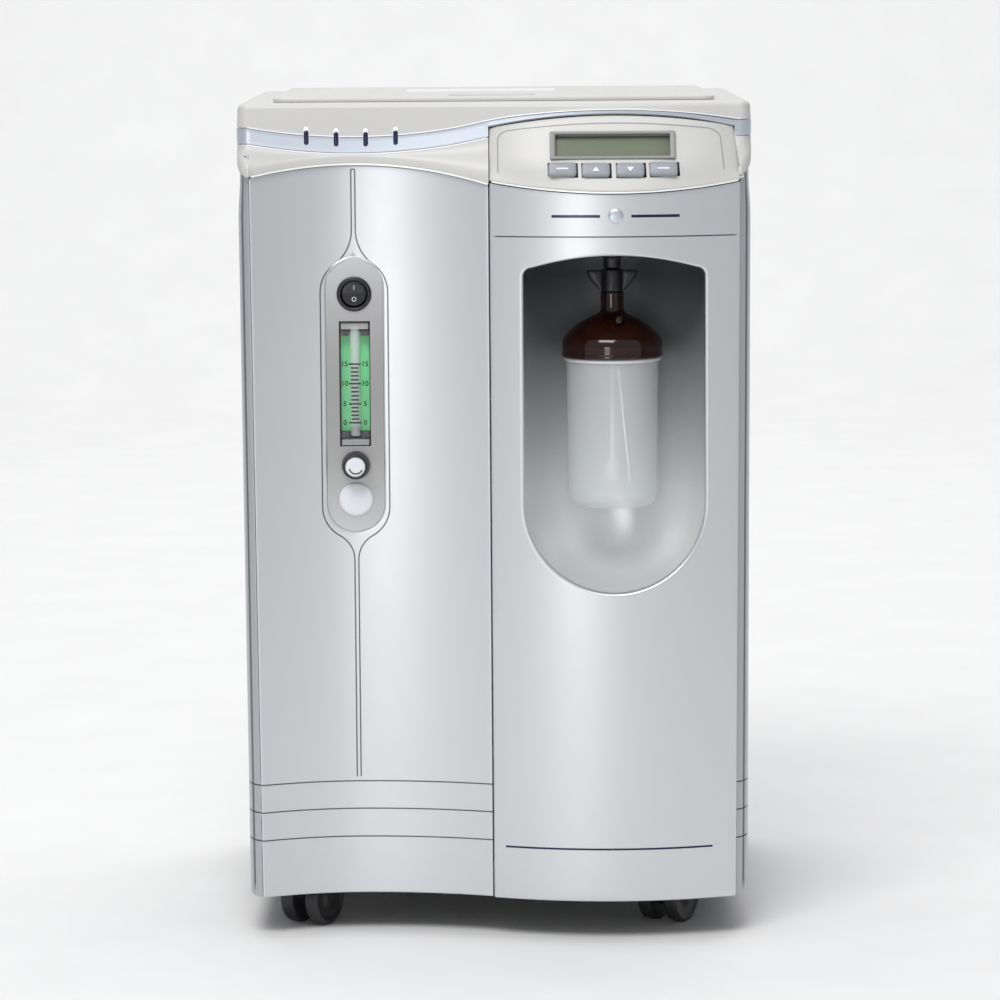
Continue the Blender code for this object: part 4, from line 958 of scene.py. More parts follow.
mid_x, mid_v = (columns_x[1:] + columns_x[:-1]) / 2, (rows_v[1:] + rows_v[:-1]) / 2
in_screen = (abs(mid_v - SCREEN_V) < SCREEN_GAP_V)[:, None] & (abs(mid_x - SCREEN_X) < SCREEN_GAP_X)[None]
in_key_x = np.any(abs(mid_x[:, None] - np.array(list(KEYS.values()))) < KEY_GAP_X, axis=1)
in_key = (abs(mid_v - KEY_V) < KEY_GAP_V)[:, None] & in_key_x[None]
skin(
    "console_face", [patch(console_points(u_grid, v_grid, -rim), keep=~(in_screen | in_key))], "cap_beige",
    stands_for=["display_console"], turn=(0, 0.0030, 0), wall=0.0008, sharp=45,
)
print("console grid:", u_grid.shape)

# %% [markdown]
# The display and the keys are flat pieces on a curved face, so each stands in a little frame of its own: right,
# up the slope, and outwards. Rounded plates come from one formula, a superellipse whose outline shrinks by a
# quarter circle towards its front.

# %% Frames on the console and rounded plates
TILT = math.atan2(
    CONSOLE_LEAN + 0.35 * WAVE, float(console_high_z(0.085) - console_low_z(0.085))
)


def console_frame(x, v):
    """Origin, right, up-slope and outward directions on the console's face."""
    origin = console_points(np.array((x - SEAM_X) / (EDGE_HALF - SEAM_X)), np.array(v))
    up = np.array([0, math.sin(TILT), math.cos(TILT)])
    return origin, np.array([1, 0, 0]), up, np.array([0, -math.cos(TILT), math.sin(TILT)])


FRONT_FRAME = (np.array([1, 0, 0]), np.array([0, 0, 1]), np.array([0, -1, 0]))  # right, up and out on a front face


def placed(local, frame):
    origin, right, up, out = frame
    return origin + local[..., :1] * right + local[..., 1:2] * up + local[..., 2:3] * out


def round_rectangle(half_x, half_y, corner, steps=7):
    """Outline of a rectangle with round corners, counter-clockwise from its right side."""
    turn = np.linspace(0, np.pi / 2, steps)
    sides = [(1, 1, 0), (-1, 1, 1), (-1, -1, 2), (1, -1, 3)]
    return np.vstack([
        np.stack([
            sx * (half_x - corner) + corner * np.cos(turn + q * np.pi / 2),
            sy * (half_y - corner) + corner * np.sin(turn + q * np.pi / 2),
        ], -1)
        for sx, sy, q in sides
    ])


def plate_points(half_x, half_y, corner, back, front, edge, frame, crown=0.0):
    """A plate with a rolled front edge, closed at the middle: its outline steps in by a quarter circle."""
    turn = np.linspace(0, np.pi / 2, 5)
    insets = column(0, edge * (1 - np.cos(turn)))
    levels = column(back, front - edge + edge * np.sin(turn))
    rings = [
        np.column_stack([round_rectangle(half_x - i, half_y - i, max(corner - i, 0.0001)), np.full(28, level)])
        for i, level in zip(insets, levels)
    ]
    for shrink in (0.7, 0.35, 0.0):
        face = rings[5].copy() if len(rings) > 5 else rings[-1].copy()
        face[:, :2] *= shrink
        face[:, 2] = front + crown * (1 - shrink**2)
        rings.append(face)
    return placed(np.stack(rings), frame)


def frame_points(outer, inner, corner, back, front, edge, frame):
    """A picture-frame: outer and inner outlines joined over a rolled front."""
    turn = np.linspace(0, np.pi / 2, 5)
    rings = []
    for level, inset in zip(column(back, front - edge + edge * np.sin(turn)), column(0, edge * (1 - np.cos(turn)))):
        outline = round_rectangle(outer[0] - inset, outer[1] - inset, corner)
        rings.append(np.column_stack([outline, np.full(28, level)]))
    for level, inset in zip((front, front - edge * 0.3, back), (edge, 0.0002, 0.0)):
        outline = round_rectangle(inner[0] + inset, inner[1] + inset, max(corner * 0.5, 0.0004))
        rings.append(np.column_stack([outline, np.full(28, level)]))
    return placed(np.stack(rings), frame)


screen_frame = console_frame(SCREEN_X, SCREEN_V)
skin(
    "bezel_frame",
    [patch(frame_points((0.0442, 0.0106), (0.0402, 0.0083), 0.0012, -0.0050, 0.0014, 0.0006, screen_frame),
           around=True, loop=True)],
    "bezel", stands_for=["lcd_bezel"], closed=True, sharp=50,
)
skin(
    "display_glass",
    [patch(plate_points(0.0412, 0.0092, 0.0006, -0.0050, -0.0032, 0.0002, screen_frame), around=True)],
    "screen", stands_for=["lcd_screen"], closed=True, sharp=40,
)


def triangle_points(up, frame, size=0.0025):
    """A raised triangle that points up the slope or down it."""
    corner = np.array([[-1, -0.6], [1, -0.6], [0, 0.75]]) * size * np.array([1, up])
    rings = [np.column_stack([corner * s, np.full(3, level)]) for s, level in ((1, 0.0020), (1, 0.00325), (0, 0.00325))]
    return placed(np.stack(rings), frame)


def bar_points(half_x, half_y, frame, x=0.0, y=0.0, low=0.0020, high=0.00325):
    outline = round_rectangle(half_x, half_y, min(half_x, half_y) * 0.95, 4)
    rings = [
        np.column_stack([outline * s + (x, y), np.full(16, level)]) for s, level in ((1, low), (1, high), (0, high))
    ]
    return placed(np.stack(rings), frame)


for key, x in KEYS.items():
    frame_here = console_frame(x, KEY_V)
    skin(
        f"key_{key}_cap",
        [patch(plate_points(0.00995, 0.0052, 0.0026, -0.0045, 0.0028, 0.0013, frame_here, 0.0003), around=True)],
        "key_grey", body=f"key_{key}", stands_for=[f"button_{key}"], closed=True, sharp=50,
    )
    if key in ("up", "down"):
        mark = triangle_points(1 if key == "up" else -1, frame_here)
    else:
        mark = bar_points(0.0042, 0.00055, frame_here)
    skin(f"key_{key}_mark", [patch(mark, around=True)], "white_plastic", body=f"key_{key}", closed=True)
print("keys:", list(KEYS))

# %% [markdown]
# A thin line is engraved round the face of the console. It is drawn as a dark raised ribbon, the groove's
# shade painted in. A slim inlay on the right panel and a rule at its foot stand where the maker's lettering
# would be. They are ribbons: a path on a face, given a width.

# %% Ribbons on the faces
def ribbon_points(path, width, surface, lift):
    """Four points across at each point of a path on a surface (a, b) -> place: thin, domed by lift."""
    step = np.gradient(path, axis=0)
    side = np.stack([-step[:, 1], step[:, 0]], -1) / np.linalg.norm(step, axis=1, keepdims=True)
    rows = [
        surface(*(path + side * width * offset).T, height)
        for offset, height in ((-0.5, -0.0002), (-0.42, lift), (0.42, lift), (0.5, -0.0002))
    ]
    return np.stack(rows)


def on_console(along, up, lift):
    """A place on the console from metres along it and up its slope."""
    return console_points(along / 0.1750, up / SLOPE, lift)


def on_right_panel(x, z, lift):
    return np.stack([x, right_panel_y(x, z) - lift, z], -1)


upper = round_rectangle(0.0792, 0.0400, 0.0085, 12)[:24] + (0.0851, 0.0130)
corners = np.vstack([[upper[0, 0], 0.0135], upper, [upper[-1, 0], 0.0100]])
travelled = np.append(0, np.cumsum(np.linalg.norm(np.diff(corners, axis=0), axis=1)))
steps = np.linspace(0, travelled[-1], 320)
console_path = np.stack([np.interp(steps, travelled, part) for part in corners.T], -1)
# The console's line: a dark ribbon, painted shade standing in for an engraved groove.
ribbon = facing(ribbon_points(console_path, 0.0006, on_console, 0.00035), (0, -1, 0))
skin("console_line", [patch(ribbon)], "key_grey")

rule = np.stack([np.linspace(0.0050, 0.1530, 60), np.full(60, 0.0665)], -1)
skin("foot_rule", [patch(facing(ribbon_points(rule, 0.0016, on_right_panel, 0.00012), (0, -1, 0)))], "lamp")
for name, start, end in (("left", 0.0400, 0.0740), ("right", 0.0960, 0.1300)):
    bar = np.stack([np.linspace(start, end, 30), np.full(30, 0.5180)], -1)
    skin(
        f"nameplate_bar_{name}", [patch(facing(ribbon_points(bar, 0.0022, on_right_panel, 0.00015), (0, -1, 0)))],
        "lamp",
    )
stud = turned_points(eased([(0.0, 0.0014), (0.0042, 0.0011), (0.0060, -0.0004), (0.0060, -0.0020)], 0.0016),
                     (0.0850, float(right_panel_y(0.085, 0.518)), 0.5180), "y", 48)
skin("nameplate_stud", [patch(stud, around=True)], "accent_band", closed=True)

# Painted highlights: narrow bright strips laid along the seams, in place of the highlights on edges too small to model.
def bead(name, xs, heights, front, width=0.0011, lift=0.0003):
    path = np.stack([xs, heights], -1)

    def surface(x, z, height):
        return np.stack([x, np.interp(x, xs, front) - height, z], -1)

    skin(name, [patch(facing(ribbon_points(path, width, surface, lift), (0, -1, 0)))], "bright_edge")


left_xs = np.linspace(-0.1715, SEAM_X - 0.0012, 140)
bead("painted_highlight_left_lip", left_xs, lip_z(left_xs) - 0.0004, lip_y(left_xs) + 0.0004, 0.0014)
console_xs = np.linspace(SEAM_X + 0.0014, EDGE_HALF - 0.0014, 160)
foot = console_points((console_xs - SEAM_X) / (EDGE_HALF - SEAM_X), np.zeros(160))
bead("painted_highlight_console_foot", console_xs, foot[:, 2] - 0.0004, foot[:, 1] + 0.0004, 0.0013)
edge_v = np.linspace(0.03, 0.97, 60)
seal = console_points(np.ones(60), edge_v)
seal_rows = np.stack([seal + (-0.0012, 0.0016, 0), seal + (0.0024, 0.0016, 0), seal + (0.0024, 0.0022, 0),
                      seal + (-0.0012, 0.0022, 0)])
skin("console_seal", [patch(facing(seal_rows, (0, -1, 0)), around=False, loop=True)], "cap_beige")
band_xs = np.linspace(-CAP_START, CAP_START, 260)
bead("painted_highlight_band_high", band_xs, band_high_z(band_xs) + 0.0004, band_y(band_xs), 0.0009)
under_xs = np.linspace(-CAP_START, SEAM_X - 0.0016, 140)
bead("painted_highlight_band_low", under_xs, band_low_z(under_xs) - 0.0004, band_y(under_xs), 0.0010)
print("console line:", len(console_path), "points")

# %% [markdown]
# ## The lid of the tray
# The lid is a plate with a bowl sunk in it for the fingers. One grid makes both: rings run from the lid's
# outer edge inwards to the bowl's rim, down its wall and across its floor.

# %% Top lid
LID = {"x": 0.1580, "front": -0.1180, "rear": 0.1650, "low": 0.5973, "high": 0.6000}
PULL = {"x": -0.0015, "y": -0.0565, "half_x": 0.0310, "half_y": 0.0240}


def lid_points():
    outer_middle = np.array([0.0, (LID["front"] + LID["rear"]) / 2])
    half = (LID["x"], (LID["rear"] - LID["front"]) / 2)
    bowl_middle = np.array([PULL["x"], PULL["y"]])
    turn = np.linspace(0, np.pi / 2, 6)
    rings = []

    def add(middle, half_x, half_y, corner, z):
        outline = round_rectangle(half_x, half_y, corner) + middle
        rings.append(np.column_stack([outline, np.full(28, z)]))

    for z in (LID["low"], LID["low"] + 0.0001):
        add(outer_middle, half[0], half[1], 0.010, z)
    for a in turn:
        inset = 0.0012 * (1 - math.cos(a))
        add(outer_middle, half[0] - inset, half[1] - inset, 0.010 - inset, LID["high"] - 0.0012 + 0.0012 * math.sin(a))
    start = rings[-1].copy()
    add(bowl_middle, PULL["half_x"] + 0.0012, PULL["half_y"] + 0.0012, 0.0072, LID["high"])
    end = rings.pop()
    rings += [mix(start, end, t) for t in (0.02, 0.2, 0.4, 0.6, 0.8, 0.97)] + [end]
    for a in turn[1:]:
        inset = -0.0012 + 0.0012 * math.sin(a)
        add(bowl_middle, PULL["half_x"] - inset, PULL["half_y"] - inset, 0.0060,
            LID["high"] - 0.0012 * (1 - math.cos(a)))
    for drop, inset in ((0.004, 0.0004), (0.0075, 0.0012), (0.0098, 0.0034), (0.0106, 0.0070)):
        add(bowl_middle, PULL["half_x"] - inset, PULL["half_y"] - inset, 0.0065, LID["high"] - drop)
    floor = rings[-1]
    middle = np.append(bowl_middle, LID["high"] - 0.0106)
    rings += [mix(floor, middle, t) for t in (0.5, 1.0)]
    return np.stack(rings)


skin("tray_lid", [patch(lid_points(), around=True)], "cap_beige", body="lid", stands_for=["top_lid"], wall=0.0012)
label = np.stack([
    np.column_stack([round_rectangle(0.0560 * s, 0.0300 * s, 0.004 * max(s, 0.1)) + (-0.010, 0.065), np.full(28, z)])
    for s, z in ((1.0, 0.5995), (1.0, 0.60008), (0.995, 0.60012), (0.5, 0.60012), (0.0, 0.60012))
])
skin("lid_pad", [patch(label, around=True)], "white_plastic", body="lid", closed=True)
print("lid rings:", lid_points().shape)

# %% [markdown]
# ## The controls
# The controls sit in a pill-shaped plate. Its outline has holes in it, and a flat curve fills such an outline
# better than any grid: the curve is drawn in the plane, given a thickness and a rounded edge, and made a mesh.

# %% Plates out of flat curves
def arc(centre, radius, start, end, steps=48):
    angle = np.radians(np.linspace(start, end, steps))
    return np.stack([centre[0] + radius * np.cos(angle), centre[1] + radius * np.sin(angle)], -1)


def pill(x, low, high, half):
    return np.vstack([arc((x, low + half), half, 180, 360), arc((x, high - half), half, 0, 180)])


def box_outline(x0, z0, x1, z1):
    return np.array([(x0, z0), (x1, z0), (x1, z1), (x0, z1)], float)


def front_plate(name, outlines, front, back, edge, look, body="cabinet", stands_for=()):
    """A plate that faces the front. The first outline is its edge and the others are holes."""
    curve = bpy.data.curves.new(name, "CURVE")
    curve.dimensions, curve.fill_mode = "2D", "BOTH"
    curve.extrude, curve.bevel_depth, curve.bevel_resolution = (back - front) / 2 - edge, edge, 2
    curve.offset = -edge
    for outline in outlines:
        spline = curve.splines.new("POLY")
        spline.points.add(len(outline) - 1)
        flat = np.column_stack([outline, np.zeros(len(outline)), np.ones(len(outline))])
        spline.points.foreach_set("co", flat.ravel())
        spline.use_cyclic_u = True
    drawn = bpy.data.objects.new(name + "_curve", curve)
    bpy.context.collection.objects.link(drawn)
    bpy.context.view_layer.update()
    mesh = bpy.data.meshes.new_from_object(drawn.evaluated_get(bpy.context.evaluated_depsgraph_get()))
    bpy.data.objects.remove(drawn)
    mesh.transform(Matrix.Translation((0, (front + back) / 2, 0)) @ Matrix.Rotation(math.pi / 2, 4, "X"))
    mesh.shade_smooth()
    mesh.set_sharp_from_angle(angle=math.radians(40))
    plate = bpy.data.objects.new(name, mesh)
    bpy.context.collection.objects.link(plate)
    return dress(plate, look, body, stands_for)


METER_LOW_Z, METER_HIGH_Z = 0.3535, 0.4420
KNOB_Z, PORT_Z, SWITCH_Z = 0.3395, 0.3150, 0.4619
front_plate(
    "insert_plate",
    [
        pill(CONTROL_X, 0.2917, 0.4888, 0.0207),
        arc((CONTROL_X, SWITCH_Z), 0.0117, 0, 353, 52),
        box_outline(CONTROL_X - 0.0109, 0.3531, CONTROL_X + 0.0109, 0.4424),
        arc((CONTROL_X, KNOB_Z), 0.0060, 0, 350, 36),
        arc((CONTROL_X, PORT_Z), 0.0080, 0, 350, 36),
    ],
    INSERT_Y - 0.0001, INSERT_Y + 0.0029, 0.0005, "insert", stands_for=["control_insert"],
)
print("insert plate made")

# %% [markdown]
# The switch, the knob and the port cap are turned: a profile carried round an axis that points to the front.
# The corners of each profile are eased first, because light catches a softened edge and misses a sharp one.

# %% Switch, knob and port cap
front_at = (CONTROL_X, INSERT_Y, SWITCH_Z)
housing = [(0.0098, -0.0030), (0.0098, 0.0012), (0.0104, 0.0018), (0.0120, 0.0013), (0.0122, 0.0003), (0.0116, 0.0001)]
skin(
    "switch_ring", [patch(turned_points(eased(housing, 0.0004), front_at, "y"), around=True)], "black_plastic",
    stands_for=["switch_housing"], turn=(0, 0.004, 0), wall=0.0003,
)
ROCKER_PIVOT = np.array([CONTROL_X, INSERT_Y + 0.0060, SWITCH_Z])


def rocker_points():
    """A round button whose face is a shallow V: it tips about its middle, so it leans in at the top now."""
    radius = np.array([0.0090, 0.0090, 0.0089, 0.0086, 0.0080, 0.0060, 0.0040, 0.0020, 0.0])[:, None]
    level = np.array([-0.0080, 0.0002, 0.0007, 0.0010, 0.0011, 0.0011, 0.0011, 0.0011, 0.0011])[:, None]
    angle = np.linspace(0, 2 * np.pi, 72, endpoint=False)[None]
    x, z = radius * np.cos(angle), radius * np.sin(angle)
    front = level - 0.0009 * (1 - abs(z) / 0.009) * (level > 0)
    tip = math.radians(-5)
    y = -front - 0.0060
    tipped_y, tipped_z = y * math.cos(tip) - z * math.sin(tip), y * math.sin(tip) + z * math.cos(tip)
    return np.stack([x, tipped_y, tipped_z], -1) + ROCKER_PIVOT


skin("rocker_button", [patch(rocker_points(), around=True)], "black_plastic", body="rocker",
     stands_for=["power_rocker"], closed=True)


def on_rocker(x, z, lift):
    """A place on the rocker's face, found with the same V and the same lean."""
    tip = math.radians(-5)
    y = -(0.0011 - 0.0009 * (1 - abs(z) / 0.009)) - 0.0060 - lift
    tipped_y, tipped_z = y * math.cos(tip) - z * math.sin(tip), y * math.sin(tip) + z * math.cos(tip)
    return np.stack([x, tipped_y, tipped_z], -1) + ROCKER_PIVOT


bar = np.stack([np.zeros(8), np.linspace(0.0026, 0.0056, 8)], -1)
circle = arc((0, -0.0042), 0.0014, 0, 360, 33)
for name, path in (("on", bar), ("off", circle)):
    points = facing(ribbon_points(path, 0.0005, on_rocker, 0.00006), (0, -1, 0))
    skin(f"rocker_mark_{name}", [patch(points)], "white_plastic", body="rocker")

knob_at = (CONTROL_X, INSERT_Y, KNOB_Z)
grip = [(0.0052, -0.0190), (0.0052, 0.0006), (0.0103, 0.0006), (0.0103, 0.0028), (0.0092, 0.0110), (0.0088, 0.0132),
        (0.0082, 0.0142), (0.0074, 0.0140), (0.0072, 0.0132)]


def fluted(points, flutes, depth):
    """Small hollows round the grip: the radius shrinks by depth times a wave of flutes."""
    centre = np.array(knob_at)
    off = points - centre
    angle, radius = np.arctan2(off[..., 2], off[..., 0]), np.hypot(off[..., 0], off[..., 2])
    wave = 1 - depth * (0.5 + 0.5 * np.cos(flutes * angle)) * smooth((radius - 0.0086) / 0.0006)
    return np.stack([centre[0] + off[..., 0] * wave, points[..., 1], centre[2] + off[..., 2] * wave], -1)


skin(
    "knob_grip", [patch(fluted(turned_points(eased(grip, 0.0008), knob_at, "y", 144), 36, 0.05), around=True)],
    "black_plastic", body="knob", stands_for=["flow_knob"],
)
disc = [(0.0, 0.0136), (0.0060, 0.0136), (0.0072, 0.0132), (0.0074, 0.0120)]
skin("knob_disc", [patch(turned_points(eased(disc, 0.0008), knob_at, "y"), around=True)], "white_plastic",
     body="knob")


def on_knob(x, z, lift):
    return np.stack([CONTROL_X + x, INSERT_Y - 0.0136 - lift + 0 * x, KNOB_Z + z], -1)


pointer = arc((0.0004, 0.0), 0.0048, 195, 335, 30)
skin("knob_arrow", [patch(facing(ribbon_points(pointer, 0.0011, on_knob, 0.00012), (0, -1, 0)))], "black_plastic",
     body="knob")
port = [(0.0, 0.0024), (0.0050, 0.0024), (0.0096, 0.0021), (0.0112, 0.0016), (0.0118, 0.0009), (0.0118, 0.0001),
        (0.0110, 0.0001)]
skin(
    "port_cover", [patch(turned_points(eased(port, 0.0006), (CONTROL_X, INSERT_Y, PORT_Z), "y"), around=True)],
    "white_plastic", stands_for=["port_cap"], turn=(0, 0.003, 0), wall=0.0003,
)
print("controls made")

# %% [markdown]
# ## The flowmeter
# A real flowmeter is a clear block with a bored tube, a coloured plate behind it and a float inside. Its scale
# is printed on the front: long ticks every five litres, short ones between, and numbers on both sides. The
# numbers are text turned into meshes. They are plain numbers, as on any dial.

# %% Flowmeter
METER_FRONT, TUBE_Y = INSERT_Y - 0.0010, INSERT_Y + 0.0065
FLOW_HEIGHTS = {0: 0.3700, 5: 0.3835, 10: 0.3980, 15: 0.4120}
middle_z, half_z = (METER_LOW_Z + METER_HIGH_Z) / 2, (METER_HIGH_Z - METER_LOW_Z) / 2


def meter_frame(y, z=middle_z):
    return (np.array([CONTROL_X, y, z]), *FRONT_FRAME)


skin(
    "meter_block",
    [patch(plate_points(0.0105, half_z, 0.0012, -0.0170, 0.0010, 0.0008, meter_frame(INSERT_Y)), around=True)],
    "clear_plastic", stands_for=["flowmeter_block"], closed=True,
)
skin(
    "scale_plate",
    [patch(plate_points(0.0103, 0.0355, 0.0006, -0.0020, 0.0, 0.0002, meter_frame(INSERT_Y + 0.0110, 0.3985)),
           around=True)],
    "scale_green", stands_for=["flowmeter_scale"], closed=True,
)
tube = [(0.0, 0.3600), (0.0034, 0.3600), (0.0036, 0.3615), (0.0036, 0.4330), (0.0030, 0.4385), (0.0, 0.4385)]
skin(
    "scale_tube", [patch(turned_points(eased(tube), (CONTROL_X, TUBE_Y, 0), "z", 48), around=True)], "bottle",
    closed=True,
)
ball = np.stack([0.0034 * np.cos(np.linspace(-np.pi / 2, np.pi / 2, 24)),
                 0.3637 + 0.0034 * np.sin(np.linspace(-np.pi / 2, np.pi / 2, 24))], -1)
skin("float_ball", [patch(turned_points(ball, (CONTROL_X, TUBE_Y, 0), "z", 48), around=True)], "black_plastic",
     body="float", stands_for=["flow_float"], closed=True)


def on_meter(x, z, lift):
    return np.stack([CONTROL_X + x, METER_FRONT - lift + 0 * x, z], -1)


ticks = []
for litres in np.arange(0, 16, 1.0):
    height = float(np.interp(litres, list(FLOW_HEIGHTS), list(FLOW_HEIGHTS.values())))
    half = 0.0044 if litres % 5 == 0 else 0.0027
    path = np.array([(-half, height), (0.0, height), (half, height)])
    ticks.append(patch(facing(ribbon_points(path, 0.0012, on_meter, 0.00008), (0, -1, 0))))
skin("scale_ticks", ticks, "black_plastic")


def lettering(name, text, size, x, z, y, look, body="cabinet"):
    """Text as a thin raised mesh, centred on (x, z) and facing the front."""
    font = bpy.data.curves.new(name, "FONT")
    font.body, font.size, font.extrude, font.offset = text, size, 0.00003, 0.00012
    font.align_x, font.align_y, font.resolution_u = "CENTER", "CENTER", 3
    drawn = bpy.data.objects.new(name + "_text", font)
    bpy.context.collection.objects.link(drawn)
    bpy.context.view_layer.update()
    mesh = bpy.data.meshes.new_from_object(drawn.evaluated_get(bpy.context.evaluated_depsgraph_get()))
    bpy.data.objects.remove(drawn)
    mesh.transform(Matrix.Translation((x, y, z)) @ Matrix.Rotation(math.pi / 2, 4, "X"))
    letters = bpy.data.objects.new(name, mesh)
    bpy.context.collection.objects.link(letters)
    return dress(letters, look, body, ())


for litres, height in FLOW_HEIGHTS.items():
    for side in (-1, 1):
        lettering(
            f"number_{litres}_{'left' if side < 0 else 'right'}", str(litres), 0.0050,
            CONTROL_X + side * 0.0073, height, METER_FRONT - 0.00012, "black_plastic",
        )
for name, low, high, look in (
    ("top", 0.4318, 0.4352, "black_plastic"), ("foot", 0.3585, 0.3630, "black_plastic"),
):
    for side in (-1, 1):
        frame_here = (np.array([CONTROL_X + side * 0.0072, INSERT_Y + 0.0040, (low + high) / 2]), *FRONT_FRAME)
        skin(
            f"meter_clip_{name}_{'left' if side < 0 else 'right'}",
            [patch(plate_points(0.0030, (high - low) / 2, 0.0008, -0.003, 0.0, 0.0004, frame_here), around=True)],
            look, closed=True,
        )
for name, z, half in (("cap", 0.4388, 0.0022), ("foot", 0.3556, 0.0020)):
    skin(
        f"meter_{name}_block",
        [patch(plate_points(0.0098, half, 0.0008, -0.0100, 0.0, 0.0004, meter_frame(INSERT_Y + 0.0020, z)),
               around=True)],
        "bottle", closed=True,
    )
print("flowmeter scale from", FLOW_HEIGHTS[0], "to", FLOW_HEIGHTS[15])

# %% [markdown]
# ## The alcove and the humidifier
# The alcove is a bowl. Its rings start as the outline of the window, and on their way back they shrink towards
# the middle as a cosine, so the wall curves in like the inside of an egg. Its roof stays level.

# %% Alcove
def alcove_points():
    x, z, _, _ = window_half()
    x, z = column(x, -x[::-1][1:-1]), column(z, z[::-1][1:-1])
    front = EDGE_Y + 0.0035
    rings = [
        np.stack([WINDOW_X + x, right_panel_y(WINDOW_X + x, z) + 0.0030, z], -1),
        np.stack([WINDOW_X + x, np.full(len(x), front), z], -1),
    ]
    top = WINDOW_SHOULDER_Z
    for turn in np.radians(np.linspace(3, 90, 30)):
        shrink = math.cos(turn)
        level = np.where(z > top, z, top - (top - z) * (1 - 0.42 * (1 - shrink)))
        back = front + (-0.0770 - front) * math.sin(turn)
        rings.append(np.stack([WINDOW_X + x * shrink, np.full(len(x), back), level], -1))
    return np.stack(rings)[:, ::-1]


skin("alcove_bowl", [patch(alcove_points(), around=True)], "niche", stands_for=["humidifier_niche"], sharp=50)
print("alcove rings:", alcove_points().shape)

# %% [markdown]
# The humidifier hangs in the alcove. All of it is turned about one upright axis: the outlet stub, the nut with
# its two wings, the brown lid and the frosted bottle with the dip tube inside. Only the wings are not round.

# %% Humidifier
BOTTLE_AT = (BOTTLE_X, BOTTLE_Y, 0)


def turned(name, profile, look, body="cabinet", stands_for=(), ease=0.0008, sides=120, closed=True):
    points = turned_points(eased(profile, ease), BOTTLE_AT, "z", sides)
    return skin(name, [patch(points, around=True)], look, body, stands_for, closed=closed, sharp=50)


turned("outlet_stub", [(0.0, 0.4900), (0.0088, 0.4900), (0.0088, 0.4862), (0.0062, 0.4850), (0.0062, 0.4790),
                       (0.0050, 0.4772), (0.0, 0.4772)], "black_plastic", stands_for=["outlet_spigot"])
nut = turned_points(
    eased([(0.0045, 0.4768), (0.0072, 0.4768), (0.0076, 0.4700), (0.0078, 0.4640), (0.0078, 0.4614), (0.0045, 0.4614)],
          0.0006), BOTTLE_AT, "z", 96)


def wing_points(side):
    """A wing in plan a flat oval, wider and further out with every step up."""
    heights = np.array([0.4622, 0.4626, 0.4650, 0.4680, 0.4710, 0.4735, 0.4755, 0.4763, 0.4765, 0.4765])[:, None]
    reach = np.array([0.0088, 0.0094, 0.0117, 0.0145, 0.0168, 0.0180, 0.0183, 0.0180, 0.0172, 0.0])[:, None]
    thick = np.array([0.0014, 0.0019, 0.0022, 0.0022, 0.0022, 0.0022, 0.0021, 0.0017, 0.0010, 0.0])[:, None]
    angle = np.linspace(0, 2 * np.pi, 32, endpoint=False)[None]
    across = 0.0056 + (np.maximum(reach, 0.0058) - 0.0056) * (0.5 + 0.5 * np.cos(angle))
    return np.stack([
        BOTTLE_X + side * across, BOTTLE_Y + thick * np.sin(angle), heights + 0 * angle
    ], -1)


skin(
    "wing_nut_grip",
    [patch(nut, around=True), patch(wing_points(-1), around=True), patch(wing_points(1), around=True)],
    "black_plastic", body="nut", stands_for=["wing_nut"], closed=True,
)
turned(
    "brown_lid",
    [(0.0042, 0.4611), (0.0080, 0.4611), (0.0083, 0.4600), (0.0082, 0.4500), (0.0086, 0.4472), (0.0105, 0.4452),
     (0.0180, 0.4420), (0.0250, 0.4380), (0.0310, 0.4330), (0.0348, 0.4286), (0.0358, 0.4262), (0.0362, 0.4240),
     (0.0360, 0.4180), (0.0364, 0.4172), (0.0364, 0.4146), (0.0342, 0.4145), (0.0340, 0.4240), (0.0300, 0.4300),
     (0.0150, 0.4370), (0.0042, 0.4400), (0.0042, 0.4611)],
    "bottle_lid", stands_for=["humidifier_lid"], ease=0.0010,
)
boss = [(0.0, 0.0085), (0.0022, 0.0085), (0.0026, 0.0070), (0.0030, 0.0030), (0.0034, 0.0), (0.0034, -0.0060)]
skin(
    "lid_boss",
    [patch(turned_points(eased(boss, 0.0008), (BOTTLE_X + 0.0040, BOTTLE_Y - 0.0180, 0.4420), "y", 40), around=True)],
    "bottle_lid", closed=True,
)
turned("lid_seal", [(0.0330, 0.4142), (0.0345, 0.4142), (0.0347, 0.4130), (0.0345, 0.4118), (0.0330, 0.4118),
                    (0.0330, 0.4142)], "white_plastic", body="bottle", ease=0.0004)
turned(
    "bottle_wall",
    [(0.0312, 0.4180), (0.0330, 0.4180), (0.0332, 0.4118), (0.0330, 0.4080), (0.0325, 0.3700), (0.0319, 0.3200),
     (0.0318, 0.3160), (0.0310, 0.3115), (0.0285, 0.3082), (0.0240, 0.3070), (0.0, 0.3078)],
    "bottle", body="bottle", stands_for=["humidifier_bottle"], ease=0.0016, closed=False,
)
# A thin slanting tube in the bottle, in the bright white of the seam strips: partly a real tube, and partly a painted
# highlight along it.
slant = np.array([0.0090, -0.0040, -0.0900])
slant_angle = np.linspace(0, 2 * np.pi, 16, endpoint=False)
slant_ring = 0.0007 * np.stack([np.cos(slant_angle), np.sin(slant_angle), 0 * slant_angle], -1)
slant_top = np.array([BOTTLE_X + 0.0030, BOTTLE_Y - 0.0150, 0.4150])
slant_rows = np.array([0.0, 0.002, 0.998, 1.0])[:, None, None]
slant_points = slant_top + slant * slant_rows + slant_ring * np.array([0, 1, 1, 0])[:, None, None]
skin("feed_tube", [patch(slant_points, around=True)], "bright_edge", closed=True)
turned("dip_tube_wall", [(0.0, 0.4560), (0.0020, 0.4560), (0.0020, 0.3420), (0.0030, 0.3400), (0.0062, 0.3385),
                         (0.0062, 0.3245), (0.0056, 0.3238), (0.0, 0.3238)], "white_plastic",
       stands_for=["dip_tube"], sides=48)
print("humidifier made")

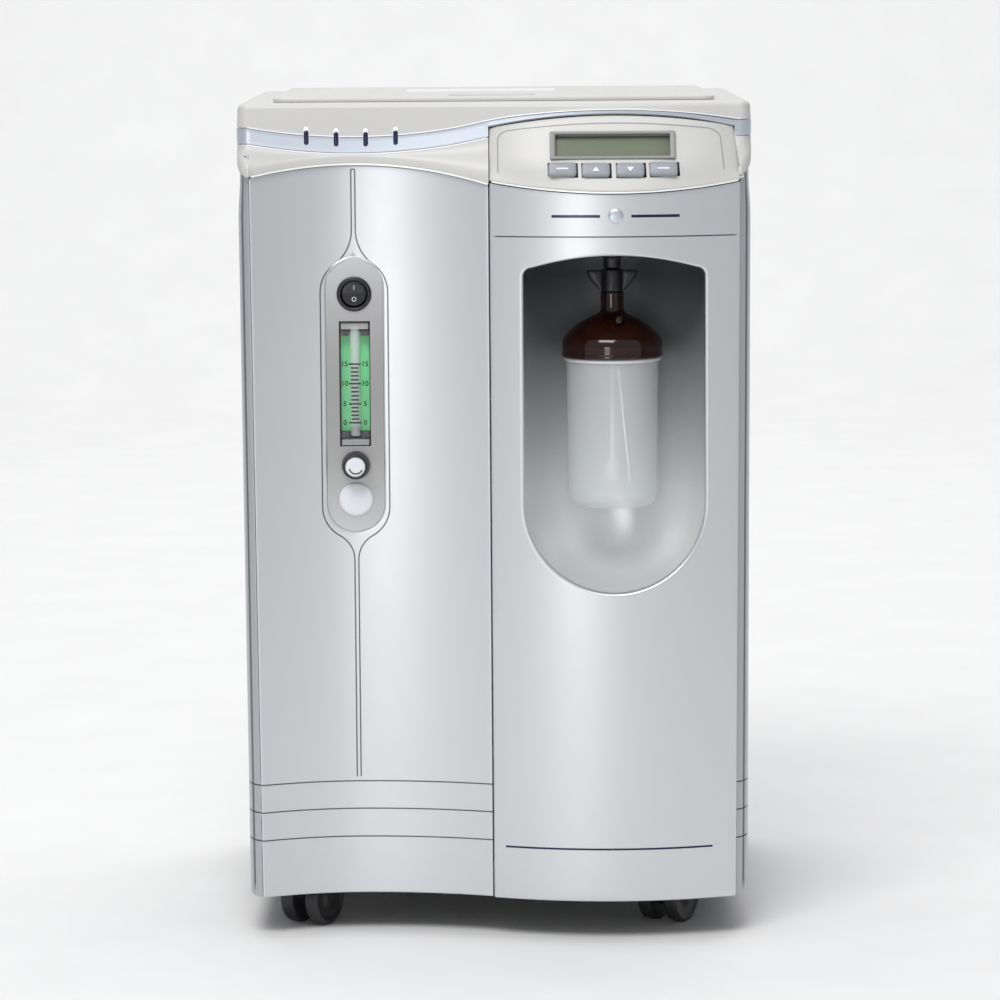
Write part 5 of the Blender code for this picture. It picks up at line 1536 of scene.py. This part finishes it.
# %% [markdown]
# ## Casters
# Each caster is a hooded twin-wheel one. A wheel is a turned tyre with a shallow dish and a hub, and the hood
# over it is the CAD one. The wheels trail behind the stem, and they roll about the axle through their middle.

# %% Caster wheels
CASTERS = {"front_left": (-0.130, -0.105), "front_right": (0.130, -0.105),
           "rear_left": (-0.130, 0.140), "rear_right": (0.130, 0.140)}
YAW, WHEEL_R, AXLE_BACK = math.radians(-30), 0.020, 0.013
tyre = [(0.0, 0.0052), (0.0060, 0.0052), (0.0150, 0.0050), (0.0184, 0.0052), (0.0196, 0.0062), (0.0200, 0.0080),
        (0.0200, 0.0130), (0.0196, 0.0148), (0.0184, 0.0158), (0.0168, 0.0160), (0.0150, 0.0146), (0.0090, 0.0140),
        (0.0064, 0.0150), (0.0050, 0.0160), (0.0, 0.0160)]


def wheel_points(place, side):
    """The tyre's profile round an axle that lies level, turned by the caster's yaw."""
    radius, out = eased(tyre, 0.0008).T[:, :, None]
    angle = np.linspace(0, 2 * np.pi, 72, endpoint=False)[None]
    local_x, local_y = side * out + 0 * angle, -AXLE_BACK + radius * np.cos(angle)
    return np.stack([
        place[0] + local_x * math.cos(YAW) - local_y * math.sin(YAW),
        place[1] + local_x * math.sin(YAW) + local_y * math.cos(YAW),
        WHEEL_R + radius * np.sin(angle),
    ], -1)


for name, place in CASTERS.items():
    for side, word in ((-1, "left"), (1, "right")):
        skin(
            f"tyre_{name}_{word}", [patch(wheel_points(place, side), around=True)], "wheel",
            body=f"caster_{name}_wheel_{word}", stands_for=[f"caster_{name}_wheel_{word}"], closed=True,
        )
print("wheels:", 2 * len(CASTERS))

# %% [markdown]
# ## The nodes that stay
# The CAD solids that are right as they are keep their shapes and take a finish: the rear, the chassis, the
# caster hoods, and all the machinery inside.

# %% Finishes for the CAD nodes
KEPT = {
    "rear_panel": "rear_panel", "filter_door": "rear_panel", "intake_filter": "foam",
    "power_inlet": "black_plastic", "breaker_button": "black_plastic", "base_tray": "chassis",
    "compressor_cradle": "chassis", "compressor_body": "aluminium", "compressor_head_left": "aluminium",
    "compressor_head_right": "aluminium", "sieve_bed_front": "aluminium", "sieve_bed_rear": "aluminium",
    "valve_block": "aluminium", "product_tank": "steel", "exhaust_muffler": "black_plastic",
    "cooling_coil": "copper", "fan_shelf": "chassis", "fan_rotor": "black_plastic", "control_board": "board",
}
KEPT.update({f"caster_{name}_yoke": "black_plastic" for name in CASTERS})
for name, look in KEPT.items():
    node = frame["nodes"][name]
    for slot in range(len(node.data.materials)):
        node.data.materials[slot] = FINISHES[look]
print("nodes with a new finish:", len(KEPT))

# %% [markdown]
# ## The studio
# A pale sweep runs from the floor up behind the cabinet without a corner. A large soft light from above and in
# front does most of the work, a small low one fills the front, and two more wash the sweep behind.

# %% Sweep and lights
WALL_START, WALL_ROUND = 3.4, 1.2


def sweep_points():
    """A floor that bends up into a wall by a quarter circle, far enough back to walk round the object."""
    turn = np.linspace(0, np.pi / 2, 24)
    y = column(-6.0, np.linspace(-3.0, WALL_START, 16), WALL_START + WALL_ROUND * np.sin(turn))
    z = column(np.zeros(17), WALL_ROUND * (1 - np.cos(turn)))
    y, z = column(y, y[-1]), column(z, 6.0)
    x = np.linspace(-7.0, 7.0, 10)
    return np.stack([x[None] + 0 * y[:, None], y[:, None] + 0 * x[None], z[:, None] + 0 * x[None]], -1)


moulded("backdrop", (0.86, 0.855, 0.845), 0.85, 0.15, 60.0)
points, faces = patch(facing(sweep_points(), (0, -1, 1)))
mesh = bpy.data.meshes.new("sweep")
mesh.from_pydata(points[:, :3], [], faces)
mesh.shade_smooth()
mesh.materials.append(FINISHES["backdrop"])
sweep = bpy.data.objects.new("sweep", mesh)
bpy.context.collection.objects.link(sweep)


def soft_light(name, place, aim, size, power, colour=(1, 1, 1)):
    light = bpy.data.lights.new(name, "AREA")
    light.shape, light.size, light.size_y = "RECTANGLE", *size
    light.energy, light.color = power, colour
    lamp = bpy.data.objects.new(name, light)
    bpy.context.collection.objects.link(lamp)
    lamp.location = place
    lamp.rotation_euler = (Vector(aim) - Vector(place)).to_track_quat("-Z", "Y").to_euler()


soft_light("key", (-0.5, -1.9, 2.7), (0, 0, 0.30), (1.6, 1.2), 53)
soft_light("front_low", (-0.56, -2.9, 0.30), (0, 0, 0.30), (0.55, 0.5), 4.6)
soft_light("back_wash", (0.0, 0.9, 3.2), (0, 1.9, 0.0), (3.2, 1.2), 28)
soft_light("far_wash", (0.0, 2.9, 3.4), (0, 3.8, 0.3), (5.0, 1.6), 48)
world = bpy.data.worlds.new("studio")
bpy.context.scene.world = world
world.use_nodes = True
world.node_tree.nodes["Background"].inputs["Color"].default_value = (0.93, 0.95, 1.0, 1)
world.node_tree.nodes["Background"].inputs["Strength"].default_value = 0.49
bpy.context.scene.view_settings.view_transform = "Standard"
print("lights:", len(bpy.data.lights))
